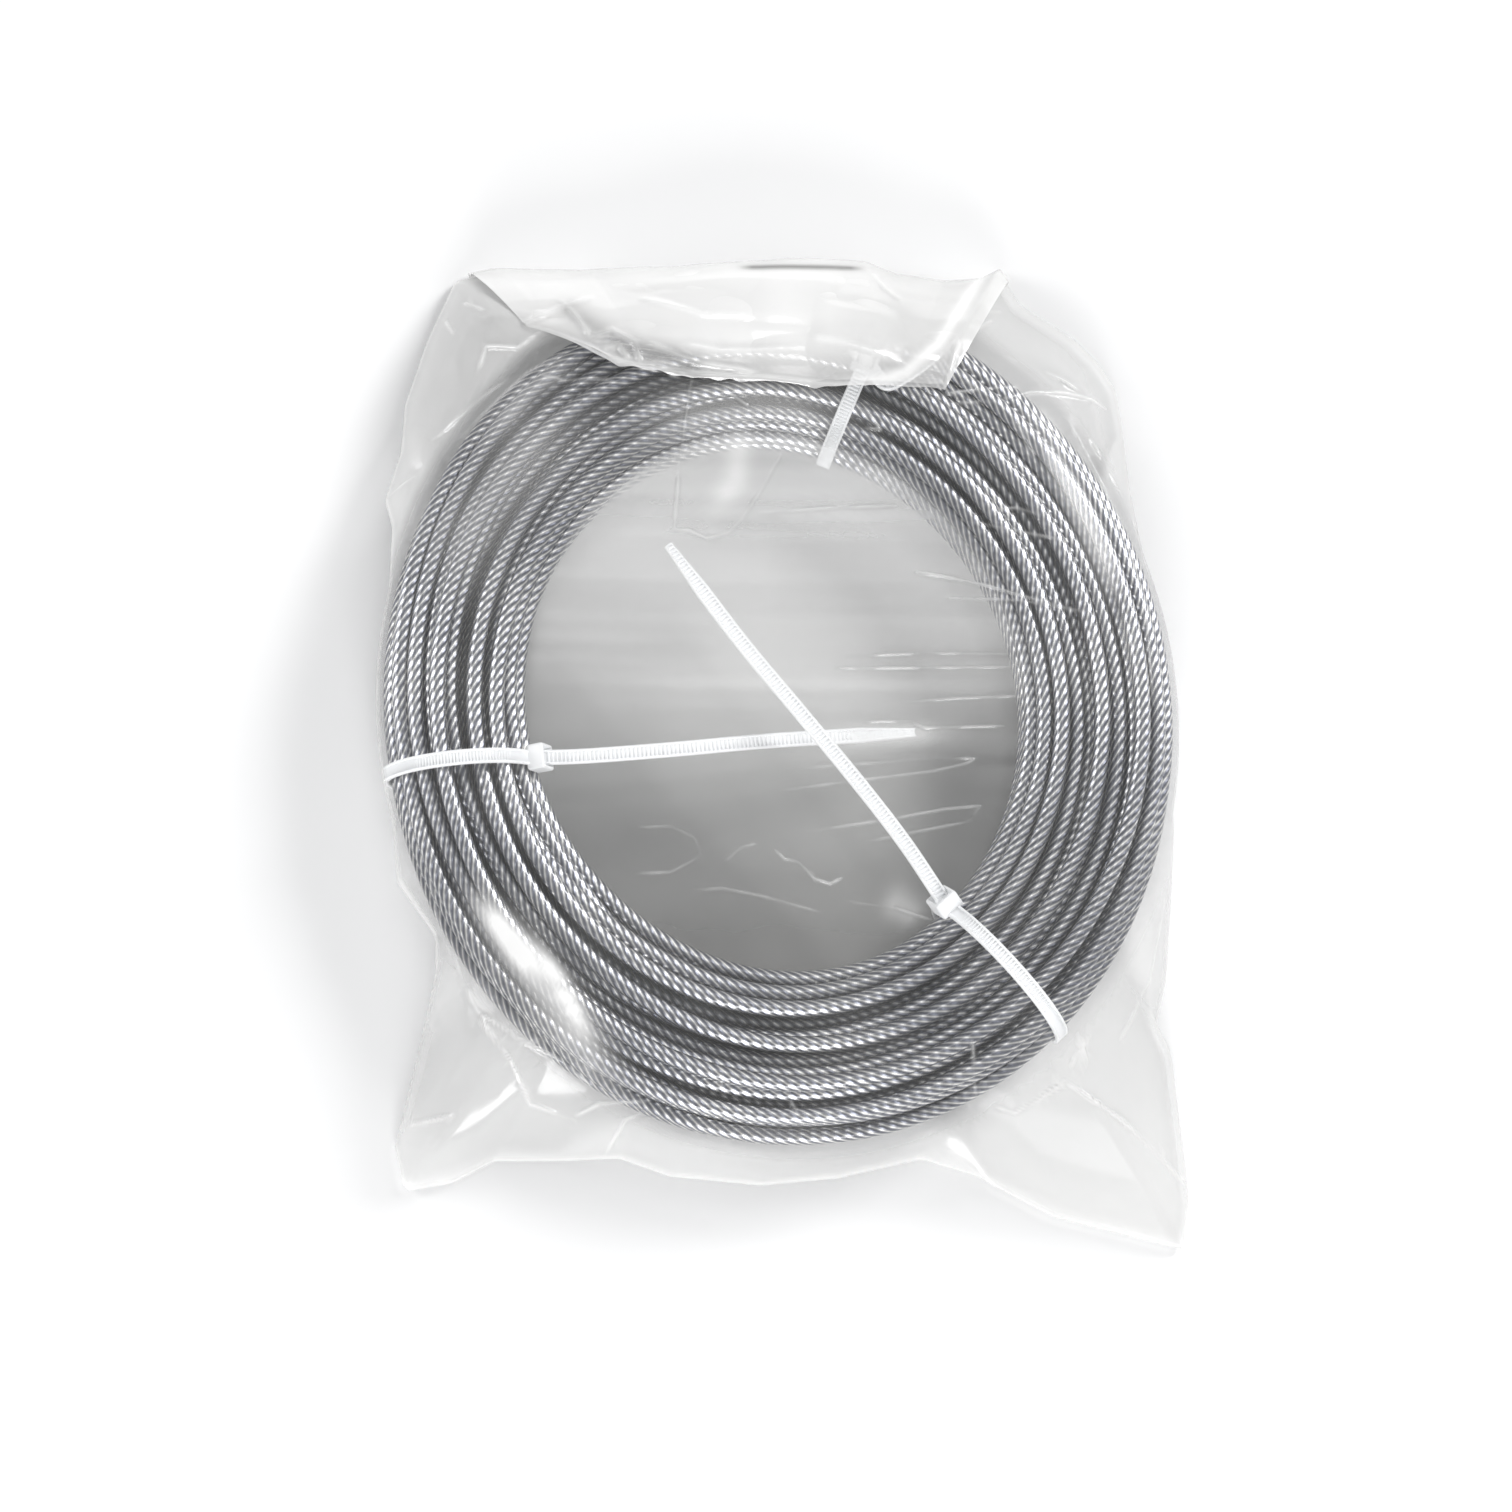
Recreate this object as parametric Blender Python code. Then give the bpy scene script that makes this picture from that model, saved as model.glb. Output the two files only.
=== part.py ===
"""A coil of clear coated steel wire rope, tied with three cable ties, in a clear bag folded over at its top.

Metres, +Z up. The coil lies flat. The bag's underside is the floor plane z = 0, and its fold is on the +Y side.
"""

import math

import bmesh
import bpy
from mathutils import Matrix, Vector

MM = 0.001
UP = Vector((0, 0, 1))

# Clearance between pieces that touch.
GAP = 0.3 * MM

# The wire rope and the bundle that its turns make.
ROPE_DIAMETER = 4.0 * MM
COIL_MIDDLE_X = 77.5 * MM  # the bundle's middle line is an ellipse, and these are its half axes
COIL_MIDDLE_Y = 85.4 * MM
COIL_LEAN = math.radians(12)  # of the longer one to the left
BUNDLE_HEIGHT = 29.0 * MM
BUNDLE_HALF_WIDTH = {  # the bundle is loose and broad at -Y, and drawn in at the left tie
    "right": 18.5 * MM,
    "back": 20.6 * MM,
    "left": 16.9 * MM,
    "front": 21.7 * MM,
}
RIDGE_DEPTH = 0.9 * MM  # from a turn's top to the groove beside it
COIL_STATIONS = 48
POINTS_PER_RIDGE = 3

# The cable ties, each moulded in one piece.
STRAP_WIDTH = 3.6 * MM
STRAP_THICKNESS = 1.2 * MM
HEAD_WIDTH = 6.2 * MM
HEAD_LENGTH = 6.0 * MM
HEAD_HEIGHT = 4.5 * MM
HEAD_BEVEL = 0.6 * MM
TIP_WIDTH = 2.0 * MM
TIP_LENGTH = 14.0 * MM
LOOP_STATIONS = 36
TAIL_STEPS = 5  # between two of a tail's points

# The bag.
FILM = 0.4 * MM
SLACK = 0.8 * MM  # between the film and the straps
EDGE_HEIGHT = 3.0 * MM  # of the bag's free corners above the floor
EDGE_REACH = 16.0 * MM  # past the coil, where a corner is fully down
LUMP_SPREAD = 16.0 * MM  # of the film over the top tie's head
BORE_SAG = 2.5 * MM  # of the film in the middle of the bore
FLAP_START = math.radians(62.2)  # the folded mouth, by its angle round the coil
FLAP_END = math.radians(124)
FLAP_TURN = 1.6 * MM  # radius of the fold
FLAP_ROOT = 2.4 * MM  # how far in the flap's film starts
FLAP_CLIMB = 0.86  # where, on the slope from the bundle to the edge, the flap lies on the bag again
MOUTH_PAST = 1.5 * MM  # how far the open inside runs past the flap at both ends
BAG_STATIONS = 72
TOP_SHARES = (0.3, 0.6, 0.85)  # of the way from the middle of the bore to the bundle
SLOPE_STEPS = 7
UNDER_STEPS = 6
FLAP_STATIONS = 18

# Heights that follow from the stack of film, strap and rope.
BUNDLE_UNDERSIDE = FILM + GAP + STRAP_THICKNESS + GAP
BUNDLE_HALF_HEIGHT = BUNDLE_HEIGHT / 2
BUNDLE_MIDDLE = BUNDLE_UNDERSIDE + BUNDLE_HALF_HEIGHT
STRAP_OFFSET = GAP + STRAP_THICKNESS / 2
FILM_CLEAR = GAP + STRAP_THICKNESS + SLACK + FILM  # from a turn to the film's outer face
FILM_TOP = BUNDLE_MIDDLE + BUNDLE_HALF_HEIGHT + FILM_CLEAR

# The bag's outline round the coil's middle, from the photograph, in millimetres.
BAG_OUTLINE = [
    (96.6, -29.2), (93.3, 15.3), (92.4, 28.1), (89.7, 43.3), (88.3, 57.6), (88.5, 76.4),
    (86.9, 86.4), (82.5, 93.4), (76.2, 99.8), (63.1, 108.0), (57.7, 116.6), (52.5, 113.8),
    (42.2, 112.8), (30.3, 112.7), (22.9, 116.0), (4.0, 115.1), (-3.7, 113.6), (-26.3, 111.9),
    (-44.7, 113.6), (-69.7, 113.5), (-79.4, 111.1), (-86.1, 95.3), (-91.3, 78.6), (-92.0, 65.1),
    (-95.6, 52.1), (-93.6, 44.2), (-94.3, 17.3), (-92.8, -21.8), (-90.8, -43.7), (-81.5, -57.2),
    (-81.2, -65.3), (-85.9, -86.0), (-90.3, -105.7), (-87.8, -116.4), (-76.6, -114.4), (-66.7, -109.1),
    (-37.1, -108.9), (-25.2, -113.1), (-3.6, -115.3), (14.8, -113.6), (35.0, -108.9), (49.6, -112.1),
    (68.2, -121.6), (99.2, -129.1), (101.1, -117.1), (97.5, -81.6), (93.9, -74.4), (96.0, -64.7),
]  # fmt: skip
# How far the folded flap reaches in, as angle round the coil in degrees and radius in millimetres.
FLAP_EDGE = [(124.0, 110.0), (116.4, 88.6), (105.6, 79.7), (93.9, 76.5), (83.9, 75.5), (75.1, 77.4), (62.2, 84.6)]

# Each tie: its angle round the coil in degrees, how far it is turned from square to the bundle, its head's
# angle round the bundle from the bore's side over the top, and its tail's points from the head's middle, in
# millimetres: towards the bore, sideways and up.
TIES = {
    "cable_tie_left": {
        "round_coil": 192.5,
        "turned": -6.5,
        "round_bundle": 22,
        "tail": [(12.1, 0.3, -1.6), (33.7, 0.6, -1.2), (53.1, 0.3, -2.3), (72.9, 0.1, -5.6), (91.8, -0.3, -10.6)],
    },
    "cable_tie_lower_right": {
        "round_coil": 312.2,
        "turned": -2.0,
        "round_bundle": 26,
        "tail": [(16.8, 2.5, 1.1), (34.1, 3.7, 3.3), (56.6, 4.8, 4.5), (79.1, 5.9, 5.1), (107.9, 8.9, 5.1)],
    },
    "cable_tie_top": {
        "round_coil": 73.9,
        "turned": -4.2,
        "round_bundle": 93,
        "tail": [
            (3.4, -6.4, 0.2), (-0.4, -10.1, 0.0), (-6.3, -13.2, -1.9), (-12.1, -15.2, -4.7),
            (-18.8, -16.6, -8.6), (-25.2, -17.6, -13.9), (-31.6, -18.3, -20.6),
        ],  # fmt: skip
    },
}


def clear_scene():
    for thing in list(bpy.data.objects):
        bpy.data.objects.remove(thing, do_unlink=True)


def material(name, colour, roughness, metallic=0.0, alpha=1.0):
    made = bpy.data.materials.new(name)
    made.use_nodes = True
    shader = made.node_tree.nodes["Principled BSDF"]
    shader.inputs["Base Color"].default_value = (*colour, 1)
    shader.inputs["Roughness"].default_value = roughness
    shader.inputs["Metallic"].default_value = metallic
    shader.inputs["Alpha"].default_value = alpha
    return made


def add_object(name, mesh_builder, made_of):
    """A new object whose mesh is what mesh_builder puts into a bmesh."""
    shape = bmesh.new()
    mesh_builder(shape)
    bmesh.ops.recalc_face_normals(shape, faces=shape.faces)
    mesh = bpy.data.meshes.new(name)
    shape.to_mesh(mesh)
    shape.free()
    mesh.materials.append(made_of)
    thing = bpy.data.objects.new(name, mesh)
    bpy.context.collection.objects.link(thing)
    return thing


def combine(thing, other, operation):
    """Joins or cuts thing with other, which becomes a hidden helper."""
    other.hide_render = True
    other.display_type = "WIRE"
    step = thing.modifiers.new(f"{operation.title()} {other.name}", "BOOLEAN")
    step.operation = operation
    step.solver = "EXACT"
    step.object = other


def bridge(shape, rings, loop=False):
    """Faces between rings of vertices, and over both ends unless the rings make a loop."""
    count = len(rings[0])
    pairs = list(zip(rings, rings[1:])) + ([(rings[-1], rings[0])] if loop else [])
    for first, second in pairs:
        for i in range(count):
            j = (i + 1) % count
            shape.faces.new((first[i], first[j], second[j], second[i]))
    if not loop:
        shape.faces.new(rings[0])
        shape.faces.new(tuple(reversed(rings[-1])))


def bundle_half_width(turn):
    """Half the bundle's width at an angle round the coil, through the four named widths."""
    right, back, left, front = (BUNDLE_HALF_WIDTH[side] for side in ("right", "back", "left", "front"))
    mean = (right + back + left + front) / 4
    sideways = (right - left) / 2 * math.cos(turn)
    lengthways = (back - front) / 2 * math.sin(turn)
    return mean + sideways + lengthways + (right - back + left - front) / 4 * math.cos(2 * turn)


def middle_line(turn):
    """The middle of the bundle and its outward direction, at an angle round the coil."""
    from_axis = turn - COIL_LEAN
    leaning = Matrix.Rotation(COIL_LEAN, 3, "Z")
    place = Vector((COIL_MIDDLE_X * math.cos(from_axis), COIL_MIDDLE_Y * math.sin(from_axis), BUNDLE_MIDDLE))
    outward = Vector((math.cos(from_axis) / COIL_MIDDLE_X, math.sin(from_axis) / COIL_MIDDLE_Y, 0)).normalized()
    return leaning @ place, leaning @ outward


def coil_reach(angle):
    """The radius of the bundle's middle line and of its outer side, in the direction of an angle."""
    from_axis = angle - COIL_LEAN
    on_ellipse = math.atan2(math.sin(from_axis) / COIL_MIDDLE_Y, math.cos(from_axis) / COIL_MIDDLE_X)
    middle = math.hypot(COIL_MIDDLE_X * math.cos(on_ellipse), COIL_MIDDLE_Y * math.sin(on_ellipse))
    return middle, middle + bundle_half_width(on_ellipse + COIL_LEAN)


def ridge_count():
    """How many turns lie round the outside of the bundle."""
    wide = sum(BUNDLE_HALF_WIDTH.values()) / len(BUNDLE_HALF_WIDTH)
    high = BUNDLE_HALF_HEIGHT
    around = math.pi * (3 * (wide + high) - math.sqrt((3 * wide + high) * (wide + 3 * high)))
    return round(around / ROPE_DIAMETER)


def build_coil(shape):
    """The bundle as one ring, with a ridge for each turn that shows."""
    ridges = ridge_count()
    points = ridges * POINTS_PER_RIDGE
    rings = []
    for station in range(COIL_STATIONS):
        turn = math.tau * station / COIL_STATIONS
        place, outward = middle_line(turn)
        ring = []
        for point in range(points):
            around = math.tau * point / points
            depth = RIDGE_DEPTH if point % POINTS_PER_RIDGE == 0 else 0
            side = (bundle_half_width(turn) - depth) * math.cos(around)
            rise = (BUNDLE_HALF_HEIGHT - depth) * math.sin(around)
            ring.append(shape.verts.new(place + outward * side + UP * rise))
        rings.append(ring)
    bridge(shape, rings, loop=True)


def strap_ring(shape, place, along, across, width):
    """Four corners of the strap's section."""
    through = along.cross(across).normalized()
    half_width = across.normalized() * width / 2
    half_thick = through * STRAP_THICKNESS / 2
    corners = ((1, 1), (-1, 1), (-1, -1), (1, -1))
    return [shape.verts.new(place + half_width * wide + half_thick * thick) for wide, thick in corners]


def tie_axes(tie):
    """The bundle's middle at the tie, and the directions outward and sideways."""
    place, square = middle_line(math.radians(tie["round_coil"]))
    outward = Matrix.Rotation(math.radians(tie["turned"]), 3, "Z") @ square
    return place, outward, UP.cross(outward)


def loop_place(tie, around, offset):
    """A point round the bundle at the tie, at an offset from it, and the direction away from the bundle."""
    place, outward, _ = tie_axes(tie)
    turned = math.radians(tie["turned"])
    strap_room = STRAP_WIDTH / 2 * abs(math.sin(turned))
    side = bundle_half_width(math.radians(tie["round_coil"])) / math.cos(turned) + strap_room + offset
    rise = BUNDLE_HALF_HEIGHT + offset
    point = place - outward * side * math.cos(around) + UP * rise * math.sin(around)
    away = -outward * math.cos(around) / side + UP * math.sin(around) / rise
    return point, away.normalized()


def head_foot(tie):
    """The middle of the head's foot, and the direction that it stands up in."""
    return loop_place(tie, math.radians(tie["round_bundle"]), GAP)


def build_loop(shape, tie):
    """The strap where it goes round the bundle."""
    _, _, sideways = tie_axes(tie)
    rings = []
    for station in range(LOOP_STATIONS):
        place, away = loop_place(tie, math.tau * station / LOOP_STATIONS, STRAP_OFFSET)
        rings.append(strap_ring(shape, place, away.cross(sideways), sideways, STRAP_WIDTH))
    bridge(shape, rings, loop=True)


def build_head(shape, tie):
    """The locking head, whose foot is level with the strap's inner face."""
    _, _, sideways = tie_axes(tie)
    foot, away = head_foot(tie)
    along = away.cross(sideways)
    turned = Matrix((along, sideways, away)).transposed().to_4x4()
    sized = Matrix.Diagonal((HEAD_LENGTH, HEAD_WIDTH, HEAD_HEIGHT, 1))
    placed = Matrix.Translation(foot + away * HEAD_HEIGHT / 2) @ turned @ sized
    bmesh.ops.create_cube(shape, size=1, matrix=placed)
    bmesh.ops.bevel(shape, geom=shape.edges[:], offset=HEAD_BEVEL, segments=1, affect="EDGES")


def smooth_curve(points, steps):
    """A Catmull-Rom curve through the points."""
    padded = [2 * points[0] - points[1], *points, 2 * points[-1] - points[-2]]
    curve = []
    for before, start, end, after in zip(padded, padded[1:], padded[2:], padded[3:]):
        for step in range(steps):
            t = step / steps
            curve.append(
                start
                + (end - before) * (t / 2)
                + (2 * before - 5 * start + 4 * end - after) * (t * t / 2)
                + (3 * start - before - 3 * end + after) * (t**3 / 2)
            )
    return [*curve, points[-1]]


def build_tail(shape, tie):
    """The free end, from inside the head to its narrow tip."""
    _, outward, sideways = tie_axes(tie)
    foot, away = head_foot(tie)
    head = foot + away * HEAD_HEIGHT / 2
    chosen = [head]
    for inward, aside, up in tie["tail"]:
        chosen.append(head + (-outward * inward + sideways * aside + UP * up) * MM)
    points = smooth_curve(chosen, TAIL_STEPS)
    whole = sum((b - a).length for a, b in zip(points, points[1:]))
    rings = []
    done = 0
    for number, place in enumerate(points):
        along = points[min(number + 1, len(points) - 1)] - points[max(number - 1, 0)]
        done += (place - points[max(number - 1, 0)]).length
        narrow = max(0, 1 - (whole - done) / TIP_LENGTH)
        width = STRAP_WIDTH + (TIP_WIDTH - STRAP_WIDTH) * narrow
        rings.append(strap_ring(shape, place, along.normalized(), UP.cross(along), width))
    bridge(shape, rings)


def add_tie(name, tie, made_of):
    thing = add_object(name, lambda shape: build_loop(shape, tie), made_of)
    combine(thing, add_object(name + "_head", lambda shape: build_head(shape, tie), made_of), "UNION")
    combine(thing, add_object(name + "_tail", lambda shape: build_tail(shape, tie), made_of), "UNION")
    return thing


def outline_radius(angle):
    """The bag's radius in a direction, straight between the outline's points and always clear of the coil."""
    ahead = Vector((math.cos(angle), math.sin(angle)))
    for first, second in zip(BAG_OUTLINE, BAG_OUTLINE[1:] + BAG_OUTLINE[:1]):
        start, end = Vector(first) * MM, Vector(second) * MM
        from_start = ahead.x * start.y - ahead.y * start.x
        from_end = ahead.x * end.y - ahead.y * end.x
        if from_start <= 0 < from_end:
            crossing = start.lerp(end, from_start / (from_start - from_end))
            if crossing.dot(ahead) > 0:
                return max(crossing.length, coil_reach(angle)[1] + FILM_CLEAR)
    raise ValueError("the bag's outline isn't closed round the coil")


def fall_shape(angle):
    """The middle line's radius, the bag's radius, its edge's height and how hollow its slope is."""
    middle, outer = coil_reach(angle)
    edge = outline_radius(angle)
    down = min(1, max(0, (edge - outer - FILM_CLEAR) / EDGE_REACH))
    height = BUNDLE_MIDDLE + (EDGE_HEIGHT - BUNDLE_MIDDLE) * down
    return middle, edge, height, 1 + 0.6 * down


def lump(x, y):
    """How far the top film is pushed up, by the tie that has its head on top."""
    foot, away = head_foot(TIES["cable_tie_top"])
    peak = foot + away * HEAD_HEIGHT
    extra = peak.z + SLACK + FILM - FILM_TOP
    return max(0, extra) * math.exp(-((x - peak.x) ** 2 + (y - peak.y) ** 2) / (2 * LUMP_SPREAD**2))


def bore_sag(share):
    """How far the top film sags, share from 0 in the middle of the bore to 1 at the bundle's middle line."""
    return BORE_SAG * (1 - share**2) ** 1.5


def film_point(angle, fall, inset, away=0.0):
    """A point on the top film, fall from 0 at the bundle's middle line to 1 at the bag's edge.

    inset moves the whole surface in by a wall, and away moves the point out along the slope's own normal.
    """
    middle, edge, height, hollow = fall_shape(angle)
    reach = edge - inset - middle
    swing = fall * math.pi / 2
    radius = middle + reach * math.sin(swing)
    raised = FILM_TOP + lump(radius * math.cos(angle), radius * math.sin(angle)) - inset - height
    rise = height + raised * max(0, math.cos(swing)) ** hollow
    steepness = raised * hollow * max(0, math.cos(swing)) ** (hollow - 1) * math.sin(swing)
    normal = Vector((steepness, reach * math.cos(swing))).normalized()
    return radius + normal.x * away, rise + normal.y * away


def bag_profile(angle, inset):
    """Radius and height from the top film's middle, out over the edge and back under the coil."""
    middle, edge, height, _ = fall_shape(angle)
    flat = [film_point(angle, 0, inset)]
    top = []
    for share in TOP_SHARES:
        x, y = (share * middle * direction for direction in (math.cos(angle), math.sin(angle)))
        top.append((share * middle, FILM_TOP + lump(x, y) - bore_sag(share) - inset))
    slope = [film_point(angle, step / SLOPE_STEPS, inset) for step in range(1, SLOPE_STEPS + 1)]
    under = []
    for step in range(1, UNDER_STEPS + 1):
        swing = step / UNDER_STEPS * math.pi / 2
        radius = middle + (edge - inset - middle) * math.cos(swing)
        under.append((radius, inset + (height - inset) * (1 - math.sin(swing))))
    return top + flat + slope + under


def build_bag_body(shape, inset):
    """The bag without its flap, as a solid; inset makes the solid that is cut out of it."""
    rings = []
    for station in range(BAG_STATIONS):
        angle = math.tau * station / BAG_STATIONS
        ring = []
        for radius, height in bag_profile(angle, inset):
            ring.append(shape.verts.new((radius * math.cos(angle), radius * math.sin(angle), height)))
        rings.append(ring)
    top = shape.verts.new((0, 0, FILM_TOP + lump(0, 0) - bore_sag(0) - inset))
    under = shape.verts.new((0, 0, inset))
    for first, second in zip(rings, rings[1:] + rings[:1]):
        shape.faces.new((top, first[0], second[0]))
        shape.faces.new((under, second[-1], first[-1]))
        for i in range(len(first) - 1):
            shape.faces.new((first[i], first[i + 1], second[i + 1], second[i]))


def flap_reach(angle):
    """The radius at which the flap ends, in a direction."""
    turned = math.degrees(angle)
    for (high, far), (low, near) in zip(FLAP_EDGE, FLAP_EDGE[1:]):
        if low - 0.001 <= turned <= high + 0.001:
            return (near + (far - near) * (turned - low) / (high - low)) * MM
    return (FLAP_EDGE[0][1] if turned > FLAP_EDGE[0][0] else FLAP_EDGE[-1][1]) * MM


def flap_profile(angle, further):
    """The flap's middle, from inside the bag's edge round the fold and back over the top film."""
    middle, edge, height, _ = fall_shape(angle)
    off = GAP + FILM + GAP / 2
    profile = [(edge - FLAP_ROOT - further, height), (edge + GAP, height)]
    profile.append((edge + FLAP_TURN, height + FLAP_TURN / 2))
    ends = flap_reach(angle) - further
    last = math.asin(min(1, max(0, (ends - middle) / (edge - middle)))) / (math.pi / 2)
    for step in range(SLOPE_STEPS + 1):
        fall = FLAP_CLIMB + (last - FLAP_CLIMB) * step / SLOPE_STEPS
        profile.append(film_point(angle, fall, 0, off))
    radius, rise = profile[-1]
    profile.append((min(ends, radius - GAP), rise))
    return profile


def build_flap(shape, thickness, further, narrower):
    """The folded mouth as a thick sheet; a thin one, longer and narrower, is its open inside."""
    rings = []
    for station in range(FLAP_STATIONS + 1):
        share = station / FLAP_STATIONS
        angle = FLAP_START + narrower + (FLAP_END - FLAP_START - 2 * narrower) * share
        profile = [Vector(point) for point in flap_profile(angle, further)]
        outer, inner = [], []
        for number, point in enumerate(profile):
            along = profile[min(number + 1, len(profile) - 1)] - profile[max(number - 1, 0)]
            side = Vector((along.y, -along.x)).normalized() * thickness / 2
            outer.append(point + side)
            inner.append(point - side)
        ring = []
        for radius, height in outer + inner[::-1]:
            ring.append(shape.verts.new((radius * math.cos(angle), radius * math.sin(angle), height)))
        rings.append(ring)
    bridge(shape, rings)


def add_bag(made_of):
    bag = add_object("poly_bag", lambda shape: build_bag_body(shape, 0), made_of)
    two_layers = 2 * FILM + GAP
    edge_seam = FILM / COIL_MIDDLE_Y
    flap = add_object("bag_flap", lambda shape: build_flap(shape, two_layers, 0, 0), made_of)
    inside = add_object("bag_inside", lambda shape: build_bag_body(shape, FILM), made_of)
    throat = add_object("bag_mouth", lambda shape: build_flap(shape, GAP, MOUTH_PAST, edge_seam), made_of)
    combine(bag, flap, "UNION")
    combine(bag, inside, "DIFFERENCE")
    combine(bag, throat, "DIFFERENCE")
    return bag


def centre_on_floor(bag):
    """Parents everything to an empty, so that the world's origin is under the middle of the bag's box."""
    bpy.context.view_layer.update()
    corners = bag.evaluated_get(bpy.context.evaluated_depsgraph_get()).bound_box
    xs, ys, _ = zip(*corners)
    things = list(bpy.data.objects)
    holder = bpy.data.objects.new("coil_middle", None)
    bpy.context.collection.objects.link(holder)
    holder.location = (-(min(xs) + max(xs)) / 2, -(min(ys) + max(ys)) / 2, 0)
    for thing in things:
        thing.parent = holder


def main():
    clear_scene()
    steel = material("coated_wire_rope", (0.42, 0.43, 0.45), 0.3, metallic=0.9)
    nylon = material("natural_nylon", (0.86, 0.86, 0.84), 0.4)
    film = material("clear_polythene", (0.92, 0.93, 0.93), 0.15, alpha=0.35)
    add_object("wire_rope_coil", build_coil, steel)
    for name, tie in TIES.items():
        add_tie(name, tie, nylon)
    centre_on_floor(add_bag(film))


main()
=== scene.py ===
"""A coil of coated steel wire rope with three cable ties, in a clear bag whose mouth is folded over."""

import math

import bmesh
import bpy
import numpy as np
from mathutils import Matrix, Vector


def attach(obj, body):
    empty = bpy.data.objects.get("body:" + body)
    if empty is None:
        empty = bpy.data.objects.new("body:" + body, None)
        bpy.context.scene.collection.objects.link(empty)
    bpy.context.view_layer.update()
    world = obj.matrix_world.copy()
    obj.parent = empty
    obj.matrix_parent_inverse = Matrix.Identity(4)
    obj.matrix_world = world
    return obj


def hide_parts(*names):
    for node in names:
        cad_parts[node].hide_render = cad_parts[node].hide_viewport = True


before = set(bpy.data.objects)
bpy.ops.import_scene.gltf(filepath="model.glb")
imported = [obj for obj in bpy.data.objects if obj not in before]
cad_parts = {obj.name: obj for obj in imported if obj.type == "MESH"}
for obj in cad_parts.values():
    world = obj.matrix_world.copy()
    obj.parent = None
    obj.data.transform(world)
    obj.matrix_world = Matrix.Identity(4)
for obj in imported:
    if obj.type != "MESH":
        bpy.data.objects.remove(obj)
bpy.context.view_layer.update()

# The camera looks down on the packing table from the coil's front, a little from its left. Its picture is
# 1512 pixels square, and the coil's middle stands at a measured pixel of it.
PICTURE = 1512
PIXELS_PER_MM = 4.13
COIL_PIXEL = (776.6, 706.2)
COIL_MIDDLE = Vector((-0.00162, 0.00424, 0.0167))
CAMERA_DISTANCE = 0.95
CAMERA_LEANS = (-0.0715, -0.208)  # how far it stands to the left and to the front, for each metre of height

towards_camera = Vector((*CAMERA_LEANS, 1)).normalized()
picture_right = Vector((0, 1, 0)).cross(towards_camera).normalized()
picture_up = towards_camera.cross(picture_right)
metres_per_pixel = 0.001 / PIXELS_PER_MM
aim = (
    COIL_MIDDLE
    + picture_right * (PICTURE / 2 - COIL_PIXEL[0]) * metres_per_pixel
    + picture_up * (COIL_PIXEL[1] - PICTURE / 2) * metres_per_pixel
)
camera_data = bpy.data.cameras.new("table_camera")
camera_data.sensor_width = 36
camera_data.lens = 36 * CAMERA_DISTANCE / (PICTURE * metres_per_pixel)
camera = bpy.data.objects.new("table_camera", camera_data)
bpy.context.collection.objects.link(camera)
facing = Matrix((picture_right, picture_up, towards_camera)).transposed().to_4x4()
camera.matrix_world = Matrix.Translation(aim + towards_camera * CAMERA_DISTANCE) @ facing
bpy.context.scene.camera = camera


def under_pixel(column, row, height):
    """What the camera sees at a pixel and a height above the table, in mm from the coil's middle."""
    ray = -towards_camera * CAMERA_DISTANCE
    ray += picture_right * (column - PICTURE / 2) * metres_per_pixel
    ray += picture_up * (PICTURE / 2 - row) * metres_per_pixel
    eye = aim + towards_camera * CAMERA_DISTANCE
    place = eye + ray * (eye.z - height / 1000) / -ray.z
    return (place.x - COIL_MIDDLE.x) * 1000, (place.y - COIL_MIDDLE.y) * 1000


# The table top is plain and nearly white. Soft daylight comes from the upper right, and a white room fills
# the rest.
TABLE_SIZE = 6.0
TABLE_COLOUR = (0.94, 0.94, 0.94, 1)
ROOM_COLOUR = (0.97, 0.98, 1, 1)
ROOM_STRENGTH = 0.28
LAMPS = {  # place, size and power
    "window": ((0.95, 0.75, 0.8), 0.5, 15),
    "left_panel": ((-1.2, 0.3, 0.6), 0.6, 7),
    "front_panel": ((0.0, -1.2, 0.6), 0.6, 12.5),
    "overhead_panel": ((0.05, 0.5, 1.5), 0.5, 1.8),
}
bpy.context.scene.view_settings.view_transform = "Standard"

table_mesh = bpy.data.meshes.new("table_top")
half = TABLE_SIZE / 2
table_mesh.from_pydata(
    [(-half, -half, -0.0001), (half, -half, -0.0001), (half, half, -0.0001), (-half, half, -0.0001)],
    [],
    [(0, 1, 2, 3)],
)
table_top = bpy.data.objects.new("table_top", table_mesh)
bpy.context.collection.objects.link(table_top)
table_paint = bpy.data.materials.new("table_paint")
table_paint.use_nodes = True
table_shader = table_paint.node_tree.nodes["Principled BSDF"]
table_shader.inputs["Base Color"].default_value = TABLE_COLOUR
table_shader.inputs["Roughness"].default_value = 0.7
table_mesh.materials.append(table_paint)
for lamp_name, (lamp_place, lamp_size, lamp_power) in LAMPS.items():
    lamp_data = bpy.data.lights.new(lamp_name, "AREA")
    lamp_data.size = lamp_size
    lamp_data.energy = lamp_power
    lamp = bpy.data.objects.new(lamp_name, lamp_data)
    bpy.context.collection.objects.link(lamp)
    lamp.location = lamp_place
    lamp.rotation_euler = (COIL_MIDDLE - Vector(lamp_place)).to_track_quat("-Z", "Y").to_euler()
room = bpy.data.worlds.new("white_room")
bpy.context.scene.world = room
room.use_nodes = True
room.node_tree.nodes["Background"].inputs["Color"].default_value = ROOM_COLOUR
room.node_tree.nodes["Background"].inputs["Strength"].default_value = ROOM_STRENGTH

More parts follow.
